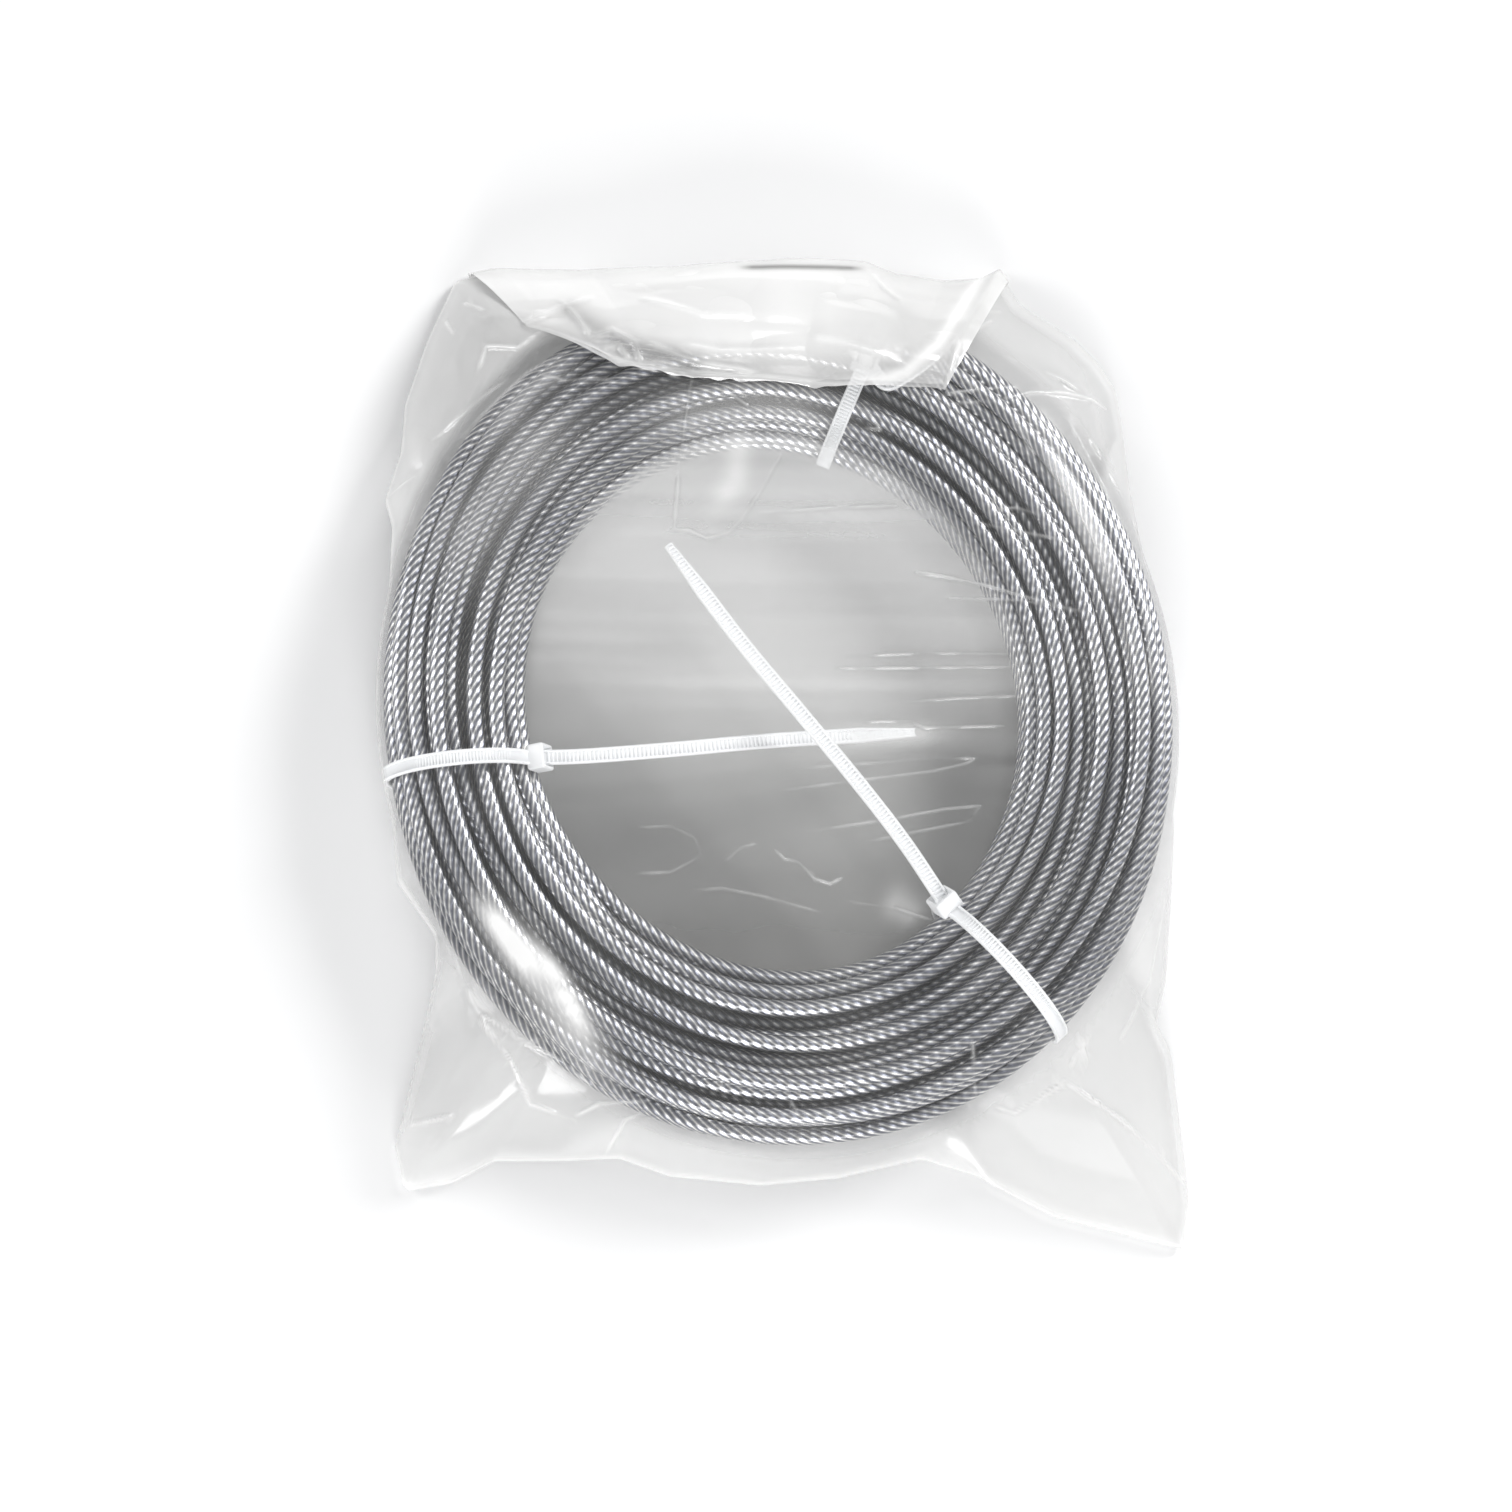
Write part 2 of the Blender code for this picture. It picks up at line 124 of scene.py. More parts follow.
# The wire rope is about 25 m of 3 mm steel rope, eight strands round a core, with a clear plastic coat to
# 4 mm. It was wound in fifty turns, each laid where there was room, and then tied.
MM = 0.001
TURNS = 50
STATIONS = 96  # to a turn
ROPE = 4.0
HALF_LENGTHS = (77.5, 85.4)  # of the ellipse that the bundle follows
COIL_LEAN = math.radians(12)  # of its longer axis to the left
BUNDLE_WIDTHS = {"right": 18.5, "back": 20.6, "left": 16.9, "front": 21.7}
HALF_HEIGHT = 14.5
ROWS = (6, 7, 8, 8, 7, 6, 5, 3)
TIE_ANGLES = [math.radians(angle) for angle in (192.5, 312.2, 73.9)]
SQUARENESS = 2.4  # of the bundle's section
TUBE_SIDES = 14
STRANDS = 8
STRAND_LAY = 0.0215
WIRES = 38.0  # the outer wires that show round the rope
WIRE_LAY = 0.07
SETTLING_STEPS = 420


def half_width(angle):
    right, back, left, front = (BUNDLE_WIDTHS[side] for side in ("right", "back", "left", "front"))
    across = (right - left) / 2 * np.cos(angle) + (back - front) / 2 * np.sin(angle)
    return (right + back + left + front) / 4 + across + (right - back + left - front) / 4 * np.cos(2 * angle)


def from_ties(angle):
    """0 at a cable tie, rising to 1 about 25 degrees from it."""
    nearest = np.full_like(angle, 9.0)
    for tie_angle in TIE_ANGLES:
        gap = np.abs((angle - tie_angle + math.pi) % math.tau - math.pi)
        nearest = np.minimum(nearest, gap)
    share = np.clip(nearest / math.radians(25), 0, 1)
    return share * share * (3 - 2 * share)


def winding_places():
    """Where each turn is laid, as shares of the bundle's half width and half height, the last one outside."""
    places = []
    for row, count in enumerate(ROWS):
        up = (2 * row / (len(ROWS) - 1) - 1) * 0.9
        chord = (1 - abs(up) ** SQUARENESS) ** (1 / SQUARENESS)
        across = [(2 * i / (count - 1) - 1) * chord for i in range(count)]
        places += [(side, up) for side in (across if row % 2 else across[::-1])]
    outside = max((place for place in places if abs(place[1]) < 0.2), key=lambda place: place[0])
    places.remove(outside)
    return np.array([*places, outside])


def wind_rope():
    """The rope's line in the bundle's section, its turns pushed apart until they lie on each other."""
    rng = np.random.default_rng(3)
    places = winding_places()
    count = TURNS * STATIONS
    turns = np.arange(count) / STATIONS
    laid = np.arange(count) // STATIONS
    ease = np.clip((turns % 1 - 0.15) / 0.7, 0, 1)
    ease = (ease * ease * (3 - 2 * ease))[:, None]
    target = places[laid] * (1 - ease) + places[np.minimum(laid + 1, TURNS - 1)] * ease
    height = (target[:, 1] + 1) / 2
    wander = np.zeros(count)
    for pace, size in ((0.6, 2.2), (1.3, 0.8)):
        knots = rng.normal(size=int(TURNS * pace) + 2) * size
        wander += np.interp(turns * pace, np.arange(len(knots)), knots)
    blur = np.hanning(25) / np.hanning(25).sum()
    wander = np.convolve(np.pad(wander, 12, mode="edge"), blur, "valid")
    rise = HALF_HEIGHT - ROPE / 2
    inside = 1 - np.abs(target[:, 0]) ** 3
    side = target[:, 0] * (half_width(math.tau * turns) - ROPE / 2)
    want = np.stack([side + wander * inside * (0.35 + 1.1 * height), target[:, 1] * rise], 1)
    stations = math.tau * np.arange(STATIONS) / STATIONS
    reach = half_width(stations) - ROPE / 2
    squareness = 2 + (SQUARENESS - 1.6) * from_ties(stations)
    others = ~np.eye(TURNS, dtype=bool)[:, :, None]
    at = want.copy()
    for step in range(SETTLING_STEPS):
        late = step / SETTLING_STEPS
        at += (want - at) * 0.02 * (1 - late)
        at[:, 1] -= 0.015
        stiff = np.hanning(15 if late < 0.8 else 7)
        padded = np.pad(at, ((len(stiff) // 2,) * 2, (0, 0)), mode="edge")
        smooth = np.stack([np.convolve(padded[:, i], stiff / stiff.sum(), "valid") for i in range(2)], 1)
        at += (smooth - at) * (0.9 - 0.4 * late)
        grid = at.reshape(TURNS, STATIONS, 2)
        apart = grid[:, None] - grid[None, :]
        distance = np.sqrt((apart**2).sum(-1)) + 1e-9
        push = np.clip(ROPE - distance, 0, None) / distance * others
        grid = grid + (apart * push[..., None]).sum(1) * 0.3
        from_middle = np.abs(grid[..., 0] / reach) ** squareness + np.abs(grid[..., 1] / rise) ** squareness
        out = from_middle ** (1 / squareness)
        grid *= (1 - 0.25 * np.clip(out - 1, 0, None) / np.maximum(out, 1e-6))[..., None]
        grid[..., 1] = np.maximum(grid[..., 1], -rise)
        at = grid.reshape(count, 2)
    return math.tau * turns, at


def in_coil(angle, across, up):
    """Points in metres from an angle round the coil and a place in the bundle's section."""
    long_x, long_y = HALF_LENGTHS
    from_axis = angle - COIL_LEAN
    out_x, out_y = np.cos(from_axis) / long_x, np.sin(from_axis) / long_y
    size = np.hypot(out_x, out_y)
    x = long_x * np.cos(from_axis) + out_x / size * across
    y = long_y * np.sin(from_axis) + out_y / size * across
    lean_x, lean_y = math.cos(COIL_LEAN), math.sin(COIL_LEAN)
    return np.stack([x * lean_x - y * lean_y, x * lean_y + y * lean_x, up], -1) * MM + np.array(COIL_MIDDLE)


def new_object(name, vertices, faces, smooth=True):
    mesh = bpy.data.meshes.new(name)
    mesh.from_pydata(vertices, [], faces)
    mesh.polygons.foreach_set("use_smooth", [smooth] * len(mesh.polygons))
    made = bpy.data.objects.new(name, mesh)
    bpy.context.collection.objects.link(made)
    return made


def rope_mesh(line, lengths):
    """A round tube along the line, whose UVs are metres along it and turns round it."""
    along = np.gradient(line, axis=0)
    along /= np.linalg.norm(along, axis=1)[:, None]
    side = np.cross(along, (0, 0, 1.0))
    side /= np.linalg.norm(side, axis=1)[:, None]
    over = np.cross(side, along)
    around = math.tau * np.arange(TUBE_SIDES) / TUBE_SIDES
    ring = np.cos(around)[None, :, None] * side[:, None] + np.sin(around)[None, :, None] * over[:, None]
    vertices = (line[:, None] + ring * ROPE / 2 * MM).reshape(-1, 3)
    rings = len(line)
    first = (np.arange(rings - 1)[:, None] * TUBE_SIDES + np.arange(TUBE_SIDES)).reshape(-1)
    next_side = (np.arange(TUBE_SIDES) + 1) % TUBE_SIDES
    beside = (np.arange(rings - 1)[:, None] * TUBE_SIDES + next_side).reshape(-1)
    faces = np.stack([first, beside, beside + TUBE_SIDES, first + TUBE_SIDES], 1).tolist()
    faces.append(list(range(TUBE_SIDES))[::-1])
    faces.append([(rings - 1) * TUBE_SIDES + i for i in range(TUBE_SIDES)])
    made = new_object("wire_rope", vertices.tolist(), faces)
    starts = np.repeat(lengths[:-1], TUBE_SIDES)
    ends = np.repeat(lengths[1:], TUBE_SIDES)
    near = np.tile(np.arange(TUBE_SIDES) / TUBE_SIDES, rings - 1)
    far = near + 1 / TUBE_SIDES
    corners = np.stack([starts, near, starts, far, ends, far, ends, near], 1).reshape(-1)
    corners = np.concatenate([corners, np.zeros(4 * TUBE_SIDES)])
    made.data.uv_layers.new(name="along_and_round").data.foreach_set("uv", corners)
    return made


def shader_nodes(name):
    """A new material, its main shader, and a function that adds a node with its inputs set or linked."""
    made = bpy.data.materials.new(name)
    made.use_nodes = True
    tree = made.node_tree

    def add(kind, settings=None, **inputs):
        node = tree.nodes.new(kind)
        for setting, value in (settings or {}).items():
            setattr(node, setting, value)
        for socket, value in inputs.items():
            by_number = socket[1:].isdigit()
            target = node.inputs[int(socket[1:]) if by_number else socket.replace("_", " ")]
            if isinstance(value, bpy.types.NodeSocket):
                tree.links.new(value, target)
            else:
                target.default_value = value
        return node

    return made, tree, tree.nodes["Principled BSDF"], add


def sums(add, operation, *values):
    settings = {"operation": operation}
    return add("ShaderNodeMath", settings, **{f"_{i}": value for i, value in enumerate(values)}).outputs[0]


def ranged(add, value, seen, wanted):
    """A value's range seen in the node before, stretched to the range wanted."""
    limits = {"From_Min": seen[0], "From_Max": seen[1], "To_Min": wanted[0], "To_Max": wanted[1]}
    return add("ShaderNodeMapRange", Value=value, **limits).outputs[0]


def steel_under_coat():
    made, tree, shader, add = shader_nodes("coated_wire_rope")
    place = add("ShaderNodeUVMap", {"uv_map": "along_and_round"}).outputs[0]
    parts = add("ShaderNodeSeparateXYZ", _0=place)
    along, around = parts.outputs[0], parts.outputs[1]
    helix = sums(add, "ADD", sums(add, "DIVIDE", along, STRAND_LAY), around)
    strand = sums(add, "FRACT", sums(add, "MULTIPLY", helix, float(STRANDS)))
    from_crest = sums(add, "MULTIPLY", sums(add, "ABSOLUTE", sums(add, "SUBTRACT", strand, 0.5)), 2.0)
    crown = sums(add, "SQRT", sums(add, "SUBTRACT", 1.0, sums(add, "POWER", from_crest, 2.0)))
    world = add("ShaderNodeNewGeometry").outputs["Position"]
    patches = add("ShaderNodeTexNoise", Vector=world, Scale=45.0, Detail=2.0).outputs[0]
    worn = ranged(add, patches, (0.35, 0.65), (0.12, -0.02))
    wire_turn = sums(add, "SUBTRACT", around, sums(add, "DIVIDE", along, WIRE_LAY))
    wires = sums(add, "FRACT", sums(add, "MULTIPLY", wire_turn, WIRES))
    from_wire = sums(add, "ABSOLUTE", sums(add, "SUBTRACT", wires, 0.5))
    broken = sums(add, "ADD", from_crest, sums(add, "MULTIPLY", sums(add, "SUBTRACT", from_wire, 0.25), 0.45))
    # The base colour paints light and shade on the strands: a near-white painted highlight along each
    # strand's crest, broken up by the wires, mid grey steel between, and painted shade in the grooves between
    # strands.
    shade = add("ShaderNodeValToRGB", _0=sums(add, "ADD", broken, worn))
    shade.color_ramp.elements[0].position = 0.17
    shade.color_ramp.elements[0].color = (1.0, 0.985, 0.95, 1)
    shade.color_ramp.elements[1].position = 0.34
    shade.color_ramp.elements[1].color = (0.44, 0.445, 0.46, 1)
    shade.color_ramp.elements.new(0.9).color = (0.14, 0.15, 0.19, 1)
    tree.links.new(shade.outputs[0], shader.inputs["Base Color"])
    bump = add("ShaderNodeBump", Strength=0.35, Distance=0.0005, Height=crown)
    tree.links.new(bump.outputs[0], shader.inputs["Normal"])
    shader.inputs["Metallic"].default_value = 1.0
    shader.inputs["Roughness"].default_value = 0.4
    shader.inputs["Coat Weight"].default_value = 1.0
    shader.inputs["Coat Roughness"].default_value = 0.08
    shader.inputs["Coat IOR"].default_value = 1.53
    return made


rope_angles, rope_places = wind_rope()
rope_line = in_coil(rope_angles, rope_places[:, 0], rope_places[:, 1])
rope_lengths = np.concatenate([[0], np.cumsum(np.linalg.norm(np.diff(rope_line, axis=0), axis=1))])
wire_rope = rope_mesh(rope_line, rope_lengths)
wire_rope.data.materials.append(steel_under_coat())
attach(wire_rope, "root")
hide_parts("wire_rope_coil")

# Each cable tie is a strap of natural nylon with fine teeth, moulded in one piece with its locking head. It
# is pulled tight round the bundle, and its long tail is left on.
STRAP_WIDTH = 3.6
STRAP_THICKNESS = 1.2
TOOTH = 1.0
TOOTH_DEPTHS = (0.1, 0.6)  # below the rails, in turn
RAIL_SHARE = 0.72  # of the strap's half width, to the inside of a rail
HEAD_SIZE = (6.0, 6.2, 4.5)
TAIL_TIP = 14.0
STRAP_GAP = 0.3
SOFT_EDGE = 0.25
TIES = {
    # The angle round the coil, how far it is turned from square, the head's angle round the bundle, and the
    # tail's points from the head's middle: towards the bore, sideways and up.
    "cable_tie_left": (
        192.5, -6.5, 22,
        [(12.1, 0.3, -1.6), (33.7, 0.6, -1.2), (53.1, 0.3, -2.3), (72.9, 0.1, -5.6), (91.8, -0.3, -10.6)],
    ),
    "cable_tie_lower_right": (
        312.2, -2.0, 26,
        [(16.8, 2.5, 1.1), (34.1, 3.7, 3.3), (56.6, 4.8, 4.5), (79.1, 5.9, 5.1), (107.9, 8.9, 5.1)],
    ),
    "cable_tie_top": (
        73.9, -4.2, 93,
        [
            (3.4, -6.4, 0.2), (-0.4, -10.1, 0.0), (-6.3, -13.2, -1.9), (-12.1, -15.2, -4.7),
            (-18.8, -16.6, -8.6), (-25.2, -17.6, -13.9), (-31.6, -18.3, -20.6),
        ],
    ),
}  # fmt: skip


def tie_axes(tie):
    """The bundle's middle at a tie, and the directions outward, sideways and up."""
    angle, turned = math.radians(tie[0]), math.radians(tie[1])
    place = in_coil(np.array(angle), np.array(0.0), np.array(0.0)) / MM
    square = in_coil(np.array(angle), np.array(1.0), np.array(0.0)) / MM - place
    outward = np.array(Matrix.Rotation(turned, 3, "Z") @ Vector(square))
    return place, outward, np.cross((0, 0, 1), outward), np.array((0, 0, 1.0))


def round_bundle(tie, around, offset):
    """A point round the bundle at a tie, and the direction away from the bundle."""
    place, outward, _, up = tie_axes(tie)
    turned = math.radians(tie[1])
    strap_room = STRAP_WIDTH / 2 * abs(math.sin(turned))
    side = half_width(math.radians(tie[0])) / math.cos(turned) + strap_room + offset
    rise = HALF_HEIGHT + offset
    point = place - outward * side * math.cos(around) + up * rise * math.sin(around)
    away = -outward * math.cos(around) / side + up * math.sin(around) / rise
    return point, away / np.linalg.norm(away)


def smooth_curve(points, spacing):
    """An even curve through the points."""
    points = np.array(points, float)
    padded = np.concatenate([[2 * points[0] - points[1]], points, [2 * points[-1] - points[-2]]])
    dense = []
    for before, start, end, after in zip(padded, padded[1:], padded[2:], padded[3:]):
        for t in np.linspace(0, 1, 40, endpoint=False):
            dense.append(
                start
                + (end - before) * (t / 2)
                + (2 * before - 5 * start + 4 * end - after) * (t * t / 2)
                + (3 * start - before - 3 * end + after) * (t**3 / 2)
            )
    dense = np.array([*dense, points[-1]])
    run = np.concatenate([[0], np.cumsum(np.linalg.norm(np.diff(dense, axis=0), axis=1))])
    steps = np.linspace(0, run[-1], max(2, round(run[-1] / spacing)))
    return np.stack([np.interp(steps, run, dense[:, i]) for i in range(3)], 1)


def strap_mesh(name, line, toothed_side, widths, closed):
    """A flat strap along the line, with teeth between two rails on one side."""
    vertices, faces = [], []
    count = len(line)
    half_thick = STRAP_THICKNESS / 2
    for number, place in enumerate(line):
        ahead = line[(number + 1) % count] if closed else line[min(number + 1, count - 1)]
        behind = line[number - 1] if closed else line[max(number - 1, 0)]
        along = (ahead - behind) / np.linalg.norm(ahead - behind)
        face = toothed_side[number] - along * (toothed_side[number] @ along)
        face /= np.linalg.norm(face)
        across = np.cross(along, face)
        half = widths[number] / 2
        deep = half_thick - TOOTH_DEPTHS[number % 2]
        rail = half * RAIL_SHARE
        section = [
            (half - SOFT_EDGE, -half_thick), (half, -half_thick + SOFT_EDGE), (half, half_thick - SOFT_EDGE),
            (half - SOFT_EDGE, half_thick), (rail, half_thick), (rail - 0.15, deep), (-rail + 0.15, deep),
            (-rail, half_thick), (-half + SOFT_EDGE, half_thick), (-half, half_thick - SOFT_EDGE),
            (-half, -half_thick + SOFT_EDGE), (-half + SOFT_EDGE, -half_thick),
        ]  # fmt: skip
        vertices += [place + across * side + face * depth for side, depth in section]
    sides = 12
    for ring in range(count if closed else count - 1):
        for i in range(sides):
            j = (i + 1) % sides
            after = (ring + 1) % count
            faces.append((ring * sides + i, ring * sides + j, after * sides + j, after * sides + i))
    if not closed:
        faces.append(list(range(sides))[::-1])
        faces.append([(count - 1) * sides + i for i in range(sides)])
    return [tuple(vertex * MM) for vertex in vertices], faces


def tie_head(tie):
    """The locking head: a rounded box with a deep slot where the tail comes out."""
    _, _, sideways, _ = tie_axes(tie)
    foot, away = round_bundle(tie, math.radians(tie[2]), STRAP_GAP)
    along = np.cross(away, sideways)
    shape = bmesh.new()
    bmesh.ops.create_cube(shape, size=1)
    for vertex in shape.verts:
        vertex.co = Vector([corner * size for corner, size in zip(vertex.co, HEAD_SIZE)])
    bmesh.ops.bevel(shape, geom=shape.edges[:], offset=0.7, segments=3, profile=0.6, affect="EDGES")
    top = max(shape.faces, key=lambda face: face.calc_center_median().z)
    bmesh.ops.inset_region(shape, faces=[top], thickness=0.5)
    bmesh.ops.translate(shape, verts=top.verts, vec=(0, 0, -1.2))
    turned = Matrix((along, sideways, away)).transposed().to_4x4()
    shape.transform(Matrix.Translation(foot + away * HEAD_SIZE[2] / 2) @ turned)
    shape.transform(Matrix.Scale(MM, 4))
    shape.normal_update()
    vertices = [tuple(vertex.co) for vertex in shape.verts]
    faces = [[vertex.index for vertex in face.verts] for face in shape.faces]
    shape.free()
    return vertices, faces


def natural_nylon():
    made, tree, shader, add = shader_nodes("natural_nylon")
    cloud = add("ShaderNodeTexNoise", Scale=260.0, Detail=3.0).outputs[0]
    shade = add("ShaderNodeValToRGB", _0=cloud)
    shade.color_ramp.elements[0].color = (0.90, 0.91, 0.92, 1)
    shade.color_ramp.elements[1].color = (0.97, 0.98, 0.99, 1)
    tree.links.new(shade.outputs[0], shader.inputs["Base Color"])
    shader.inputs["Roughness"].default_value = 0.35
    shader.inputs["Subsurface Weight"].default_value = 0.2
    shader.inputs["Subsurface Radius"].default_value = (1, 1, 1)
    shader.inputs["Subsurface Scale"].default_value = 0.0015
    return made


def build_tie(name, tie, made_of):
    around = np.linspace(0, math.tau, 300, endpoint=False)
    loop = [round_bundle(tie, angle, STRAP_GAP + STRAP_THICKNESS / 2) for angle in around]
    line = np.array([point for point, _ in loop])
    parts = [strap_mesh(name, line, [away for _, away in loop], [STRAP_WIDTH] * len(line), True)]
    parts.append(tie_head(tie))
    _, outward, sideways, up = tie_axes(tie)
    foot, away = round_bundle(tie, math.radians(tie[2]), STRAP_GAP)
    head = foot + away * HEAD_SIZE[2] / 2
    chosen = [head]
    chosen += [head - outward * inward + sideways * aside + up * rise for inward, aside, rise in tie[3]]
    tail = smooth_curve(chosen, TOOTH / 2)
    left = np.linspace(1, 0, len(tail)) * np.linalg.norm(np.diff(tail, axis=0), axis=1).sum()
    widths = np.interp(left, (0, TAIL_TIP), (2.0, STRAP_WIDTH))
    ahead = np.gradient(tail, axis=0)
    across = np.cross(up, ahead)
    parts.append(strap_mesh(name, tail, np.cross(ahead, across), widths, False))
    vertices, faces = [], []
    for more_vertices, more_faces in parts:
        faces += [[index + len(vertices) for index in face] for face in more_faces]
        vertices += more_vertices
    made = new_object(name + "_nylon", vertices, faces, smooth=False)
    made.data.materials.append(made_of)
    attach(made, "root")
    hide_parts(name)
    return tail


nylon = natural_nylon()
tails = {name: build_tie(name, tie, nylon) for name, tie in TIES.items()}

# The bag is thin clear polythene, welded along its edges. It lies tight over the coil. Its mouth is folded
# over the coil's back, where the film is creased and hazy in several layers.
FILM_REST = 32.6  # the film's height on the coil
SEAM_HEIGHT = 1.2
SEAM_REACH = 16.0
SEAM_GAP = 1.9  # from the coil to the seam, at the least
CORNER_HEIGHT = 2.0  # of a corner well clear of the coil
CORNER_GAP = 2.7  # from the coil, within which a corner hangs at half the coil's height
BORE_SAG = 2.5
OVER_ROPE = 0.5
FILM_STATIONS = 480
BORE_RINGS = 56
SLOPE_RINGS = 34
UNDER_RINGS = 10
BAG_CORNERS = [  # round the bag's edge, as the camera sees it
    (1174, 830), (1157, 651), (1152, 600), (1140, 540), (1130, 489), (1123, 427), (1116, 389),
    (1098, 362), (1073, 337), (1021, 305), (999, 272), (979, 282), (939, 283), (894, 277),
    (864, 265), (790, 262), (760, 264.9), (669, 271), (594, 272), (494, 272), (455, 280),
    (427, 340), (405, 404), (401, 451), (385, 499), (392, 526), (387, 630), (390, 789),
    (397, 881), (435, 936), (436, 972), (415, 1064), (395, 1146), (405, 1191), (452, 1183),
    (494, 1161), (619, 1158), (669, 1176), (760, 1185), (838, 1178), (922, 1159), (979, 1176),
    (1055, 1217), (1183, 1249), (1190, 1199), (1172, 1053), (1157, 1023), (1167, 982),
]  # fmt: skip
CREASES = [  # each sharp fold that shines: its height in mm, and its points as the camera sees them
    (0.4, [(848, 656), (930, 653), (1010, 654)]),
    (0.4, [(836, 668), (1010, 667)]),
    (0.5, [(906, 702), (960, 698), (1020, 696)]),
    (0.5, [(866, 722), (909, 721), (925, 728), (1013, 726)]),
    (0.5, [(915, 572), (945, 577), (983, 585), (1075, 611)]),
    (0.3, [(946, 598), (1016, 600), (1090, 612)]),
    (0.3, [(759, 513), (830, 508), (897, 506)]),
    (0.5, [(787, 769), (873, 763), (934, 758), (974, 759), (968, 763), (934, 771), (854, 781), (787, 789)]),
    (0.5, [(805, 832), (885, 820), (946, 809), (980, 806), (974, 815), (1001, 821)]),
    (0.4, [(870, 841), (915, 832), (977, 820)]),
    (0.9, [(775, 850), (784, 859), (799, 862), (808, 872), (814, 879), (830, 884), (842, 878)]),
    (0.4, [(726, 861), (741, 847), (756, 844)]),
    (0.5, [(695, 890), (723, 888), (762, 896), (824, 913)]),
    (0.4, [(848, 902), (894, 908), (931, 920)]),
    (0.4, [(640, 827), (671, 826), (695, 838), (701, 856), (671, 872), (640, 873)]),
    (0.3, [(694, 367), (689, 393), (679, 471), (674, 530)]),
    (0.35, [(672, 529), (689, 530), (706, 538), (729, 532), (741, 520), (762, 489), (781, 455)]),
    (0.9, [(463, 303), (484, 313)]),
    (1.0, [(445, 321), (453, 335)]),
    (0.8, [(387, 499), (400, 487), (413, 478)]),
    (0.6, [(523, 325), (562, 309), (590, 299)]),
    (0.6, [(562, 305), (588, 335)]),
    (0.5, [(476, 375), (486, 347), (518, 348), (541, 331)]),
    (0.5, [(432, 442), (470, 407), (507, 380)]),
    (0.5, [(455, 442), (526, 374), (575, 348)]),
    (0.4, [(536, 374), (562, 380), (614, 380)]),
    (0.7, [(722, 387), (748, 406)]),
    (0.7, [(958, 376), (998, 402), (1016, 423), (1033, 455)]),
    (0.7, [(945, 394), (1018, 386)]),
    (0.7, [(951, 404), (998, 401), (1033, 391), (1065, 394), (1106, 410)]),
    (1.0, [(1045, 373), (1060, 381), (1076, 392)]),
    (0.9, [(1005, 358), (1016, 363)]),
    (0.7, [(980, 312), (1001, 312)]),
    (0.7, [(978, 328), (992, 320)]),
    (0.6, [(989, 511), (1016, 508), (1036, 514), (1039, 499)]),
    (0.5, [(975, 523), (1010, 530), (1066, 541), (1075, 530)]),
    (0.5, [(857, 408), (868, 414), (880, 430), (866, 428)]),
    (0.5, [(1075, 430), (1120, 520), (1145, 600), (1152, 700)]),
    (0.5, [(1090, 440), (1133, 520), (1158, 610)]),
    (0.9, [(1070, 1068), (1090, 1035)]),
    (0.9, [(1066, 1081), (1120, 1119), (1188, 1190)]),
    (0.8, [(994, 1106), (1015, 1113), (1068, 1080)]),
    (0.7, [(972, 1040), (975, 1095)]),
    (0.8, [(478, 1020), (510, 1060), (530, 1105), (575, 1120)]),
    (0.7, [(475, 1012), (520, 1040), (560, 1060), (590, 1085)]),
    (0.8, [(408, 1125), (455, 1116)]),
    (0.6, [(575, 1116), (600, 1103), (650, 1102)]),
    (0.5, [(452, 950), (470, 1000), (508, 1060)]),
    (0.6, [(605, 1155), (625, 1120), (650, 1110)]),
    (0.5, [(430, 880), (440, 930), (452, 960)]),
    (0.5, [(1165, 900), (1150, 980), (1120, 1040)]),
    (0.4, [(790, 1100), (800, 1117)]),
    (0.4, [(720, 1055), (722, 1090)]),
]
CREASE_WIDTH = 0.38
SEAM_WIDTH = 0.7
SEAM_HAZE = 0.35
EDGE_CALM = 12  # how far from the seam the waves begin
OUTER_HAZE = 0.28  # of the film outside the coil
SHADOW_LIFT_HAZE = 0.22  # how much whiter the film is painted at the back left, as painted light over the shadow there
CORNER_PAINTED_SHADE = 0.16  # painted shade darkening the film at the front right corner, and dulling its shine there
TABLE_GAP = 0.05
TOPS_REACH = 140  # half the side of the grid of the rope's tops
LUMP_WIDTH = 9.0  # of the film over a tie or a head
TENTS = [  # each broad ridge: its height and half width in mm, and its points as the camera sees them
    (2.2, 10.0, [(478, 1010), (520, 1090), (420, 1170)]),
    (2.2, 9.0, [(520, 330), (470, 320), (440, 380)]),
    (2.2, 9.0, [(1050, 360), (1090, 400), (1115, 480)]),
    (2.0, 8.0, [(600, 1160), (650, 1115), (760, 1150)]),
    (1.8, 8.0, [(420, 860), (450, 950), (470, 1040)]),
    (1.6, 7.0, [(395, 520), (410, 470), (440, 400)]),
]
PAINTED_GLARES = [  # each broader patch of painted glare where the film shines: how white it is, its half width in mm and its points
    (1.0, 2.1, [(466, 885), (495, 920), (525, 958), (553, 994)]),
    (0.85, 1.6, [(520, 925), (548, 965), (575, 1010), (600, 1055)]),
    (0.5, 4.2, [(450, 862), (510, 940), (575, 1030), (645, 1122)]),
    (0.2, 3.0, [(700, 535), (735, 480), (745, 400)]),
    (0.26, 2.8, [(790, 741), (870, 737), (925, 734), (985, 731)]),
    (0.1, 5.0, [(540, 690), (760, 684), (1000, 690)]),
    (0.2, 7.0, [(590, 470), (660, 425), (760, 405), (850, 420), (910, 455)]),
    (0.16, 9.0, [(440, 640), (460, 540), (530, 440), (620, 380)]),
    (0.2, 3.0, [(1010, 410), (1060, 470), (1100, 560), (1120, 640)]),
    (0.2, 2.5, [(470, 460), (530, 390), (600, 350)]),
    (0.2, 4.0, [(870, 895), (900, 905), (930, 930)]),
]


